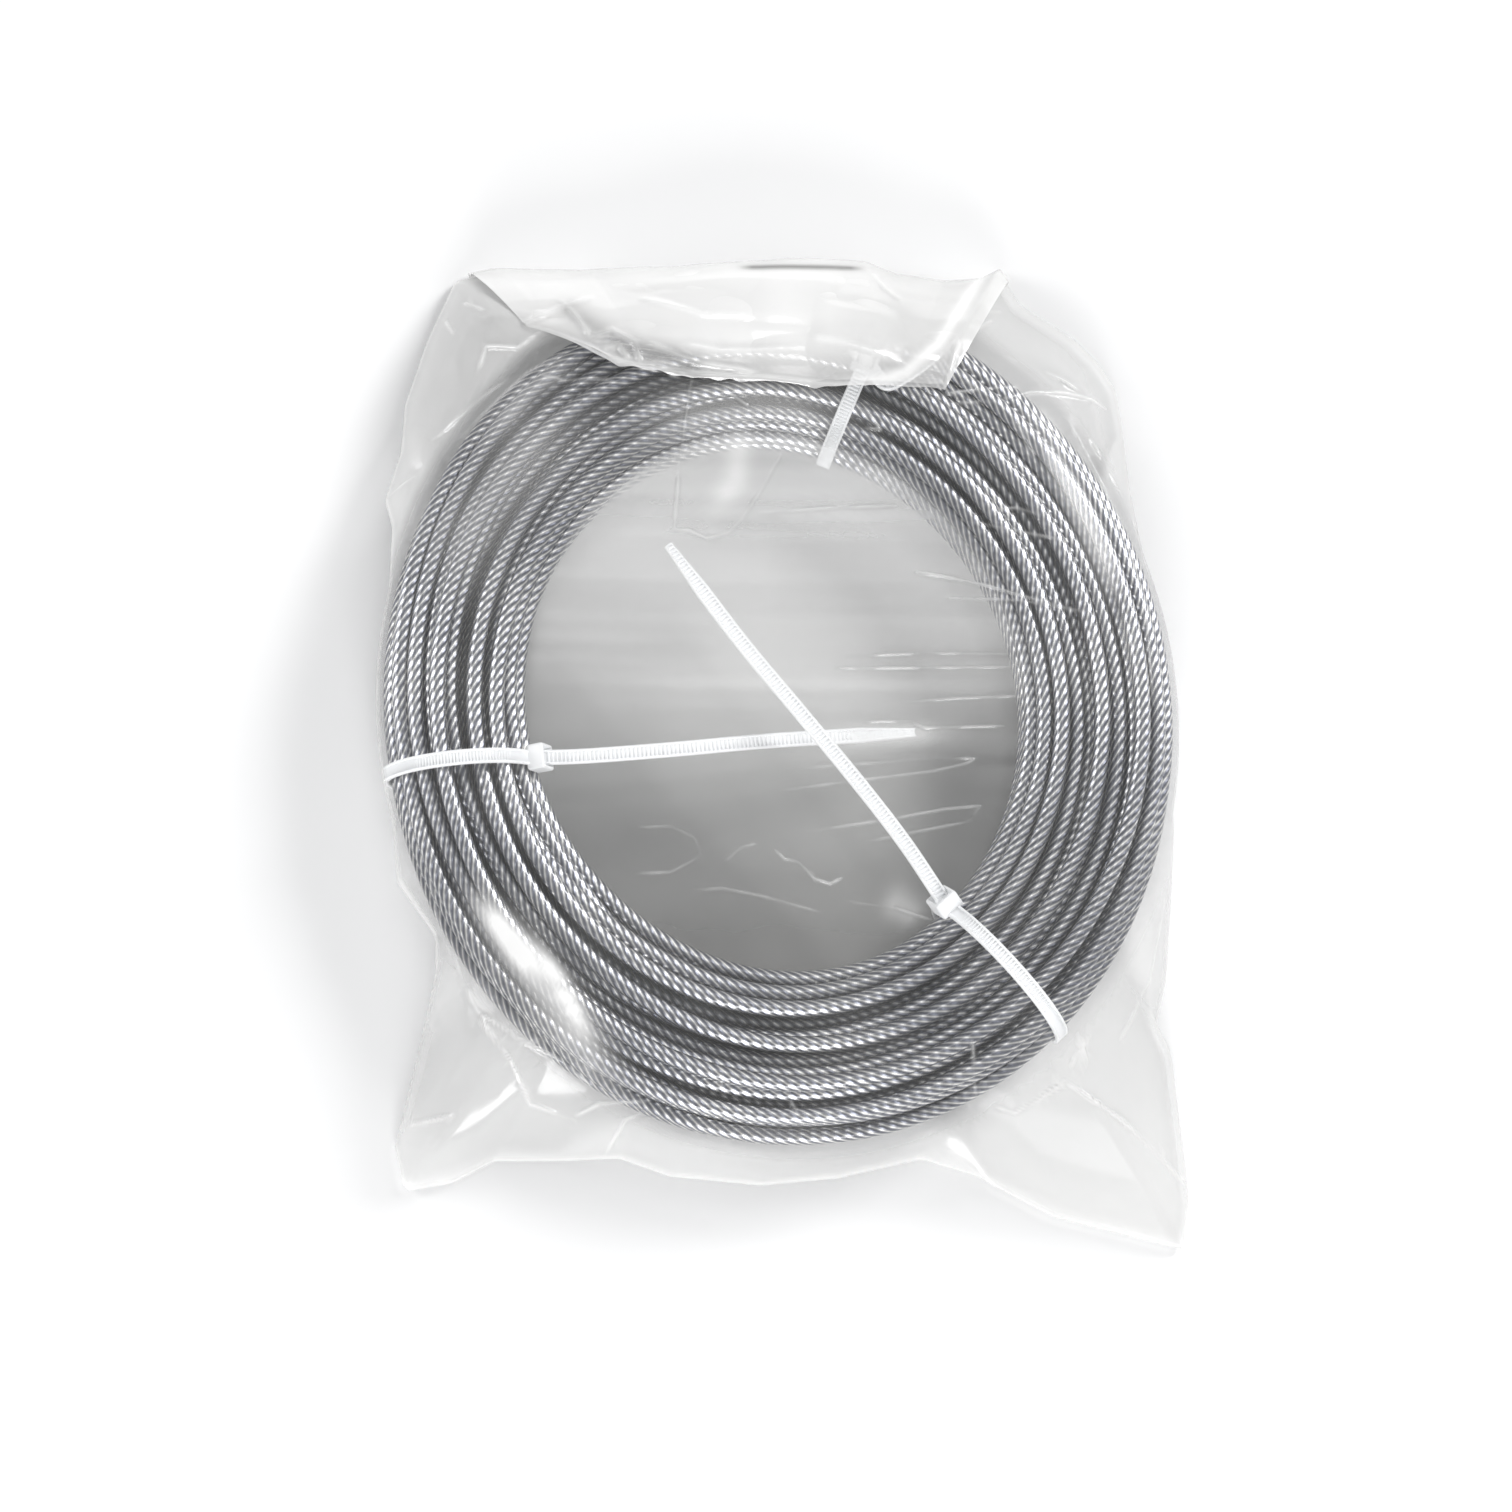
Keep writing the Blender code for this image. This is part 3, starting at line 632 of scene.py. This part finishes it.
def coil_radii(angles):
    """The radius of the bundle's middle line and of its outside, in directions from the coil's middle."""
    from_axis = angles - COIL_LEAN
    turn = np.arctan2(np.sin(from_axis) / HALF_LENGTHS[1], np.cos(from_axis) / HALF_LENGTHS[0])
    middle = np.hypot(HALF_LENGTHS[0] * np.cos(turn), HALF_LENGTHS[1] * np.sin(turn))
    return middle, middle + half_width(turn + COIL_LEAN)


def bag_corner(column, row):
    """A corner of the bag to a tenth of a mm. It hangs lower the further it is from the coil."""
    middle_height = COIL_MIDDLE.z / MM
    height = middle_height
    for _ in range(6):
        x, y = under_pixel(column, row, height)
        _, outer = coil_radii(math.atan2(y, x))
        free = min(1, max(0, (math.hypot(x, y) - outer - CORNER_GAP) / SEAM_REACH))
        height = middle_height * (1 - free) + CORNER_HEIGHT * free
    return round(x, 1), round(y, 1)


def edge_radii(angles):
    """The bag's radius in directions from the coil's middle."""
    corners = np.array([bag_corner(column, row) for column, row in BAG_CORNERS])
    dense_angles, dense_radii = [], []
    for first, second in zip(corners, np.roll(corners, -1, axis=0)):
        for t in np.linspace(0, 1, 24, endpoint=False):
            point = first * (1 - t) + second * t
            dense_angles.append(math.atan2(point[1], point[0]) % math.tau)
            dense_radii.append(math.hypot(*point))
    order = np.argsort(dense_angles)
    radii = np.interp(angles, np.array(dense_angles)[order], np.array(dense_radii)[order], period=math.tau)
    return np.maximum(radii, coil_radii(angles)[1] + SEAM_GAP)


def value_noise(x, y, seed):
    """Smooth noise from -1 to 1 that changes over one unit."""
    lattice = np.random.default_rng(seed).uniform(-1, 1, (64, 64))
    column, row = np.floor(x).astype(int), np.floor(y).astype(int)
    u, v = x - column, y - row
    u, v = u * u * (3 - 2 * u), v * v * (3 - 2 * v)
    corner = [lattice[(column + i) % 64, (row + j) % 64] for i, j in ((0, 0), (1, 0), (0, 1), (1, 1))]
    return (corner[0] * (1 - u) + corner[1] * u) * (1 - v) + (corner[2] * (1 - u) + corner[3] * u) * v


def rope_tops():
    """The rope's top surface over a 1 mm grid round the coil's middle."""
    middle = np.array(COIL_MIDDLE) / MM
    points = rope_line / MM - [middle[0], middle[1], 0]
    shares = np.linspace(0, 1, 6, endpoint=False)
    points = np.concatenate([points[:-1] * (1 - t) + points[1:] * t for t in shares])
    tops = np.zeros((2 * TOPS_REACH, 2 * TOPS_REACH))
    column, row = np.round(points[:, 0]).astype(int), np.round(points[:, 1]).astype(int)
    for i in range(-3, 4):
        for j in range(-3, 4):
            aside = (column + i - points[:, 0]) ** 2 + (row + j - points[:, 1]) ** 2
            top = points[:, 2] + np.sqrt(np.clip((ROPE / 2) ** 2 - aside * 0.6, 0, None))
            spot = (column + i + TOPS_REACH, row + j + TOPS_REACH)
            np.maximum.at(tops, spot, np.where(aside < 6.5, top, 0))
    return tops


def film_rests():
    """The top film as rings of radii and heights, held up by the rope, the ties and their heads."""
    angles = math.tau * np.arange(FILM_STATIONS) / FILM_STATIONS
    middle, outer = coil_radii(angles)
    edge = edge_radii(angles)
    free = np.clip((edge - outer - SEAM_GAP) / SEAM_REACH, 0, 1)
    seam = (FILM_REST / 2) * (1 - free) + SEAM_HEIGHT * free
    rings = []
    for share in np.arange(1, BORE_RINGS) / BORE_RINGS:
        sag = BORE_SAG * (1 - share**2) ** 1.5
        rings.append((share * middle, np.full_like(angles, FILM_REST) - sag))
    for swing in np.linspace(0, math.pi / 2, SLOPE_RINGS):
        fall = max(0.0, math.cos(swing)) ** (1 + 0.6 * free)
        rings.append((middle + (edge - middle) * math.sin(swing), seam + (FILM_REST - seam) * fall))
    radius, height = np.array([ring[0] for ring in rings]), np.array([ring[1] for ring in rings])
    x, y = radius * np.cos(angles), radius * np.sin(angles)
    supports = []
    for tail in tails.values():
        along = (tail - np.array(COIL_MIDDLE) / MM)[::8]
        supports += [(point[0], point[1], tail[i * 8][2] + 1.0) for i, point in enumerate(along)]
    for tie in TIES.values():
        for around in (60, 75, 90, 105, 120):
            point, _ = round_bundle(tie, math.radians(around), STRAP_GAP + STRAP_THICKNESS + 0.3)
            supports.append((*(point - np.array(COIL_MIDDLE) / MM)[:2], point[2]))
    top_tie = TIES["cable_tie_top"]
    peak, _ = round_bundle(top_tie, math.radians(top_tie[2]), HEAD_SIZE[2] + 0.9)
    supports.append((*(peak - np.array(COIL_MIDDLE) / MM)[:2], peak[2]))
    lift = np.zeros_like(x)
    for place_x, place_y, needed in supports:
        away_from = (x - place_x) ** 2 + (y - place_y) ** 2
        nearest = np.unravel_index(np.argmin(away_from), x.shape)
        lump = np.exp(-away_from / (2 * LUMP_WIDTH**2))
        lift = np.maximum(lift, max(0, needed - height[nearest]) * lump)
    tops = rope_tops()
    below = tops[np.round(x).astype(int) + TOPS_REACH, np.round(y).astype(int) + TOPS_REACH]
    inward = np.clip((edge - radius) / 3, 0, 1)
    lift = np.maximum(lift, np.clip(below + OVER_ROPE - height, 0, None) * inward)
    for _ in range(6):
        padded = np.pad(lift, ((1, 1), (0, 0)), mode="edge")
        spread = (padded[:-2] + padded[2:] + np.roll(lift, 1, axis=1) + np.roll(lift, -1, axis=1)) / 4
        lift = np.maximum(spread, np.clip(below + OVER_ROPE * 0.6 - height, 0, None) * inward)
    return angles, radius, height + lift


def nearest_station(x, y):
    return np.round(np.arctan2(y, x) / math.tau * FILM_STATIONS).astype(int) % FILM_STATIONS


def film_height(x, y):
    """The resting film's height at places round the coil's middle."""
    rays = zip(np.hypot(x, y), nearest_station(x, y))
    return np.array([np.interp(away, film_radius[:, ray], film_level[:, ray]) for away, ray in rays])


def on_film(points):
    """Where the camera's sight lines through pixels meet the resting film."""
    heights = np.full(len(points), FILM_REST)
    for _ in range(5):
        places = np.array([under_pixel(*pixel, height) for pixel, height in zip(points, heights)])
        heights = film_height(places[:, 0], places[:, 1])
    return places


def near_line(x, y, points):
    """The distance of each place from a line, and the share of the line at its nearest point."""
    lengths = np.linalg.norm(np.diff(points, axis=0), axis=1)
    passed = np.concatenate([[0], np.cumsum(lengths)]) / lengths.sum()
    best, share = np.full(x.shape, 1e9), np.zeros(x.shape)
    for number, (start, end) in enumerate(zip(points, points[1:])):
        ahead = end - start
        t = np.clip(((x - start[0]) * ahead[0] + (y - start[1]) * ahead[1]) / (ahead @ ahead), 0, 1)
        away_from = np.hypot(x - start[0] - ahead[0] * t, y - start[1] - ahead[1] * t)
        share = np.where(away_from < best, passed[number] + (passed[number + 1] - passed[number]) * t, share)
        best = np.minimum(best, away_from)
    return best, share


def fading(distance, width):
    """1 on a line, falling off smoothly past its half width."""
    return np.exp(-((distance / width) ** 2))


def tapered(share, pace, least=0.0):
    """0 or the least at both ends of a line, rising to 1 along it."""
    return np.clip(np.minimum(share, 1 - share) * pace + least, 0, 1)


def folds_at(x, y):
    """How high the sharp folds stand at each place, and how near the closest one is."""
    height, nearest = np.zeros(x.shape), np.full(x.shape, 1e9)
    for size, points in fold_lines:
        away_from, share = near_line(x, y, points)
        height = np.maximum(height, size * tapered(share, 8, 0.25) * fading(away_from, CREASE_WIDTH))
        nearest = np.minimum(nearest, away_from)
    broken = np.clip(0.8 + 0.9 * value_noise(x / 5 + 30, y / 5 + 30, 51), 0.15, 1.3)
    return height * broken, nearest


def glare_and_haze_at(x, y):
    """How white the film is in its patches of painted glare, and along its edge."""
    haze = np.zeros(x.shape)
    for strength, width, points in glare_lines:
        away_from, share = near_line(x, y, points)
        haze += strength * tapered(share, 3) ** 2 * fading(away_from, width)
    inside = edge_radii(np.arctan2(y, x)) - np.hypot(x, y)
    return haze + SEAM_HAZE * fading(inside, SEAM_WIDTH)


def over_bore(x, y):
    """The haze of the film over the bore, in soft bands, with painted light making it whiter towards the
    back.
    """
    angles = np.arctan2(y, x)
    middle, outer = coil_radii(angles)
    within = np.clip((2 * middle - outer - np.hypot(x, y)) / 2, 0, 1)
    bands = 0.05 * value_noise(x / 75 + 4, y / 2.6 + 4, 41) + 0.05 * value_noise(x / 40 + 4, y / 11 + 4, 42)
    return within * np.clip(0.07 + y / 300 + bands, 0, 1)


def slack(x, y):
    """The film's broad, shallow waves, longest across the coil."""
    return value_noise(x / 60 + 5, y / 9 + 5, 21) * 0.2 + value_noise(x / 30 + 3, y / 20 + 9, 22) * 0.4


def film_object(name, x, y, z, inside_out):
    """A sheet of film from rings round the coil, closed in its middle."""
    centre = [[x[0].mean(), y[0].mean(), z[0].mean()]]
    vertices = np.concatenate([np.stack([x, y, z], -1).reshape(-1, 3), centre])
    ring = np.arange(FILM_STATIONS)
    after = (ring + 1) % FILM_STATIONS
    faces = [(len(vertices) - 1, int(i), int(j)) for i, j in zip(ring, after)]
    for number in range(len(x) - 1):
        start = number * FILM_STATIONS
        near, far = start + ring, start + FILM_STATIONS + ring
        faces += np.stack([near, far, start + FILM_STATIONS + after, start + after], 1).tolist()
    if inside_out:
        faces = [face[::-1] for face in faces]
    return new_object(name, vertices.tolist(), faces)


def refine_folds(made):
    """Smaller faces along the sharp folds."""
    shape = bmesh.new()
    shape.from_mesh(made.data)
    middles = np.array([face.calc_center_median() for face in shape.faces])
    _, nearest = folds_at(middles[:, 0], middles[:, 1])
    shape.faces.ensure_lookup_table()
    edges = {edge for number in np.flatnonzero(nearest < 1.3) for edge in shape.faces[number].edges}
    bmesh.ops.subdivide_edges(shape, edges=list(edges), cuts=3, use_grid_fill=True)
    shape.to_mesh(made.data)
    shape.free()
    made.data.polygons.foreach_set("use_smooth", [True] * len(made.data.polygons))


def set_film(made, places, haze, grey):
    """The film's vertices in metres, and how hazy it is and how much painted shade it carries at each of
    them.
    """
    places = places + [COIL_MIDDLE.x / MM, COIL_MIDDLE.y / MM, 0]
    places[:, 2] = np.maximum(places[:, 2], TABLE_GAP)
    made.data.vertices.foreach_set("co", (places * MM).ravel())
    for name, values in (("haze", haze), ("grey", grey)):
        made.data.attributes.new(name, "FLOAT", "POINT").data.foreach_set("value", values.astype(np.float32))
    made.data.update()


def places_of(made):
    places = np.zeros(3 * len(made.data.vertices))
    made.data.vertices.foreach_get("co", places)
    return places.reshape(-1, 3)


def clear_polythene():
    made, tree, shader, add = shader_nodes("clear_polythene")
    # Painted shade: where the attribute below is high, the film's colour darkens towards dark grey and its
    # shine is lowered.
    grey = add("ShaderNodeAttribute", {"attribute_name": "grey"}).outputs["Fac"]
    shade = add("ShaderNodeValToRGB", _0=grey)
    shade.color_ramp.elements[0].color = (0.94, 0.938, 0.93, 1)
    shade.color_ramp.elements[1].color = (0.24, 0.24, 0.23, 1)
    tree.links.new(shade.outputs[0], shader.inputs["Base Color"])
    shader.inputs["Roughness"].default_value = 0.14
    shader.inputs["IOR"].default_value = 1.8
    tree.links.new(ranged(add, grey, (0.0, 0.16), (0.5, 0.12)), shader.inputs["Specular IOR Level"])
    place = add("ShaderNodeNewGeometry").outputs["Position"]
    cloud = add("ShaderNodeTexNoise", Vector=place, Scale=35.0, Detail=4.0).outputs[0]
    faint = ranged(add, cloud, (0.3, 0.7), (0.04, 0.07))
    haze = add("ShaderNodeAttribute", {"attribute_name": "haze"}).outputs["Fac"]
    tree.links.new(sums(add, "ADD", faint, haze), shader.inputs["Alpha"])
    return made


def film_over():
    """The film on top of the coil, with its creases, its broad ridges and its waves."""
    ring_x, ring_y = film_radius * np.cos(film_angles), film_radius * np.sin(film_angles)
    made = film_object("bag_film_over", ring_x, ring_y, film_level, False)
    refine_folds(made)
    places = places_of(made)
    x, y = places[:, 0], places[:, 1]
    away = np.hypot(x, y)
    rising, _ = folds_at(x, y)
    from_edge = np.clip((film_radius[-1, nearest_station(x, y)] - away) / EDGE_CALM, 0, 1)
    tented = np.zeros(len(places))
    for size, width, points in tent_lines:
        away_from, share = near_line(x, y, points)
        flank = np.clip(1 - away_from / width, 0, 1) ** 1.3
        tented = np.maximum(tented, size * tapered(share, 4, 0.2) * flank)
    waves = slack(x, y) + tented
    places[:, 2] += rising * np.clip(from_edge * 4, 0, 1) + waves * from_edge**0.7
    outside = np.clip((away - coil_radii(np.arctan2(y, x))[1]) / 4, 0, 1)
    # Painted light: the film outside the coil is made whiter towards the back left, lifting the shadow it
    # shows there.
    painted_shadow_lift = np.clip((y - x - 70) / 60, 0, 1)
    # Along the creases the film is whiter, partly as real stress whitening and partly as a painted glint.
    haze = glare_and_haze_at(x, y) + (OUTER_HAZE + SHADOW_LIFT_HAZE * painted_shadow_lift) * outside + rising * 0.45
    haze += over_bore(x, y)
    # Painted shade: the film is darkened towards its front right corner.
    painted_corner_shade = CORNER_PAINTED_SHADE * outside * np.clip((x - y - 95) / 25, 0, 1)
    set_film(made, places, haze, painted_corner_shade)
    return made


def film_under():
    """The bag's underside, which lies on the table within the coil and curves up to the edge, painted grey as
    shade within the bore, darker towards the front.
    """
    middle, _ = coil_radii(film_angles)
    edge, seam = film_radius[-1], film_level[-1]
    rings = []
    for share in np.linspace(0.05, 1, 30):
        rings.append((share * middle, np.full_like(middle, TABLE_GAP)))
    for step in range(1, UNDER_RINGS + 1):
        swing = step / UNDER_RINGS * math.pi / 2
        rise = (seam - TABLE_GAP) * (1 - math.cos(swing))
        rings.append((middle + (edge - middle) * math.sin(swing), TABLE_GAP + rise))
    radius, height = np.array([ring[0] for ring in rings]), np.array([ring[1] for ring in rings])
    x, y = radius * np.cos(film_angles), radius * np.sin(film_angles)
    made = film_object("bag_film_under", x, y, height, True)
    places = places_of(made)
    away = np.hypot(places[:, 0], places[:, 1])
    within = 1 - np.clip((away - 70) / 12, 0, 1)
    outside = np.clip((away - 90) / 6, 0, 1)
    # Painted shade: within the bore the film is grey, and its haze rises towards the front so that it darkens
    # there.
    haze = within * (0.32 - places[:, 1] / 230) + 0.3 * outside
    set_film(made, places, haze, within)
    return made


FLAP_CREASES = [  # the sharp folds of the mouth, given like the others
    (0.9, [(560, 336), (611, 360), (640, 370), (699, 376), (760, 379), (857, 388), (940, 391)]),
    (1.1, [(645, 344), (692, 364), (757, 374)]),
    (0.9, [(958, 341), (951, 366), (945, 391)]),
    (0.8, [(562, 303), (575, 318), (590, 338)]),
    (0.8, [(523, 325), (562, 309), (590, 299)]),
    (0.9, [(590, 338), (612, 332), (634, 344), (640, 365)]),
    (0.7, [(600, 352), (618, 346), (628, 362)]),
    (0.6, [(680, 345), (720, 352), (790, 350)]),
    (0.5, [(870, 275), (884, 291), (900, 302)]),
    (0.5, [(640, 300), (700, 316), (750, 318)]),
    (0.5, [(810, 338), (850, 345), (880, 355)]),
]
TAIL_UNDER_FLAP = [(857, 388), (905, 374), (938, 345), (962, 308), (984, 276)]
CLEAR_PATCH = [(568, 313), (608, 338), (640, 352), (692, 366)]  # where the mouth is one clear ply
FOLD_SHADOW_STRIP = [(735, 271), (800, 270), (866, 272)]  # a painted shadow along the fold at the mouth's back edge
FLAP_EDGE = [  # how far the folded mouth reaches in, as the camera sees it, with its height in mm
    (944, 392, 34), (864, 389, 35), (815, 387, 35), (760, 382, 34), (693, 379, 34), (619, 367, 34),
    (527, 327, 27),
]  # fmt: skip
FLAP_HAZE = ((0, 0.1, 0.3, 0.74, 0.93, 1), (0.3, 0.65, 0.85, 0.8, 0.32, 0.45))  # from the fold to the edge
FLAP_CREASE_WIDTH = 0.8
FLAP_STATIONS = 260
FLAP_RINGS = 64
FOLD_RADIUS = 1.3
FILM_PLY = 0.35  # between the plies of the fold


def folded_mouth(ply):
    """One ply of the mouth: out of the back seam, round the fold and in over the film."""
    corners = [under_pixel(*corner) for corner in FLAP_EDGE]
    turned = [round(math.degrees(math.atan2(y, x)), 1) for x, y in corners]
    reach = [round(math.hypot(x, y), 1) for x, y in corners]
    angles = np.radians(np.linspace(turned[0], turned[-1], FLAP_STATIONS))
    ragged = value_noise(angles * 30 + 7, np.full_like(angles, 3.0 + ply), 11) * 0.4
    inner = np.interp(np.degrees(angles), turned, reach) + ragged + ply * 1.6
    column = angles / math.tau * FILM_STATIONS
    low = np.floor(column).astype(int)
    part = column - low
    radii = film_radius[:, low] * (1 - part) + film_radius[:, low + 1] * part
    levels = film_level[:, low] * (1 - part) + film_level[:, low + 1] * part
    edge, seam = radii[-1], levels[-1]
    fold = FOLD_RADIUS - ply * 0.3
    swings = np.linspace(-1.57, 1.57, 9)
    rings = [(edge + fold * math.cos(swing), seam + fold * math.sin(swing)) for swing in swings]
    for share in np.linspace(0, 1, FLAP_RINGS)[1:]:
        radius = edge + (np.minimum(inner, edge - 0.5) - edge) * share
        under = np.array([np.interp(r, radii[:, i], levels[:, i]) for i, r in enumerate(radius)])
        rings.append((radius, under + FOLD_RADIUS * 2 * (1 - share) ** 3 + FILM_PLY * (2 - ply)))
    radius, height = np.array([ring[0] for ring in rings]), np.array([ring[1] for ring in rings])
    x, y = radius * np.cos(angles), radius * np.sin(angles)
    crumpled = np.abs(value_noise(x / 19 + 4 + ply, y / 5 + 4, 31)) * 0.9
    crumpled += np.abs(value_noise(x / 11 + 4, y / 12 + ply, 32)) * 0.7
    from_fold = np.linspace(0, 1, len(rings))[:, None]
    rising = np.zeros_like(x)
    for size, points in flap_lines:
        away_from, share = near_line(x, y, points)
        rising = np.maximum(rising, size * tapered(share, 8, 0.25) * fading(away_from, FLAP_CREASE_WIDTH))
    height = height + crumpled * from_fold**0.5 + rising
    haze = np.interp(from_fold, *FLAP_HAZE) + 0.06 * crumpled
    over_tail, share = near_line(x, y, tail_line)
    pressed = fading(over_tail, 1.5) * np.clip(share * 6, 0, 1)
    # Along the mouth's creases the film is whiter, partly as real stress whitening and partly as a painted
    # glint.
    haze = haze * (1 - 0.35 * np.clip((x - 12) / 18, 0, 1)) + rising * 0.25 + pressed * 0.5
    over_clear, _ = near_line(x, y, clear_line)
    haze = haze * (1 - 0.65 * fading(over_clear, 3.2))
    # Painted shadow: a dark strip along the fold at the mouth's back edge.
    over_strip, share = near_line(x, y, fold_shadow_line)
    painted_fold_shadow = fading(over_strip, 1.1) * tapered(share, 8)
    first = (np.arange(len(rings) - 1)[:, None] * FLAP_STATIONS + np.arange(FLAP_STATIONS - 1)).reshape(-1)
    faces = np.stack([first, first + FLAP_STATIONS, first + FLAP_STATIONS + 1, first + 1], 1)
    return np.stack([x, y, height], -1).reshape(-1, 3), faces, haze.reshape(-1), 0.9 * painted_fold_shadow.reshape(-1)


film_angles, film_radius, film_level = film_rests()
fold_lines = [(size, on_film(points)) for size, points in CREASES]
glare_lines = [(strength, width, on_film(points)) for strength, width, points in PAINTED_GLARES]
flap_lines = [(size, on_film(points)) for size, points in FLAP_CREASES]
tent_lines = [(size, width, on_film(points)) for size, width, points in TENTS]
tail_line = on_film(TAIL_UNDER_FLAP)
fold_shadow_line = on_film(FOLD_SHADOW_STRIP)
clear_line = on_film(CLEAR_PATCH)
bag_over, bag_under = film_over(), film_under()
mouth_places, mouth_faces, mouth_haze_and_painted_light, mouth_painted_shade = zip(*(folded_mouth(ply) for ply in (0, 1)))
mouth_faces = np.concatenate([mouth_faces[0], mouth_faces[1] + len(mouth_places[0])])
mouth_places = np.concatenate(mouth_places)
bag_mouth = new_object("bag_mouth_folded", mouth_places.tolist(), mouth_faces.tolist())
set_film(bag_mouth, mouth_places, np.concatenate(mouth_haze_and_painted_light), np.concatenate(mouth_painted_shade))
polythene = clear_polythene()
for web, flat, held, rests_on in (
    (bag_over, (0.20, 0.24), "laid", ["wire_rope"]),
    (bag_under, (0.20, 0.24), "laid", []),
    (bag_mouth, (0.13, 0.08), "folded", ["bag_film_over"]),
):
    web.data.materials.append(polythene)
    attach(web, "root")
    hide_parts("poly_bag")
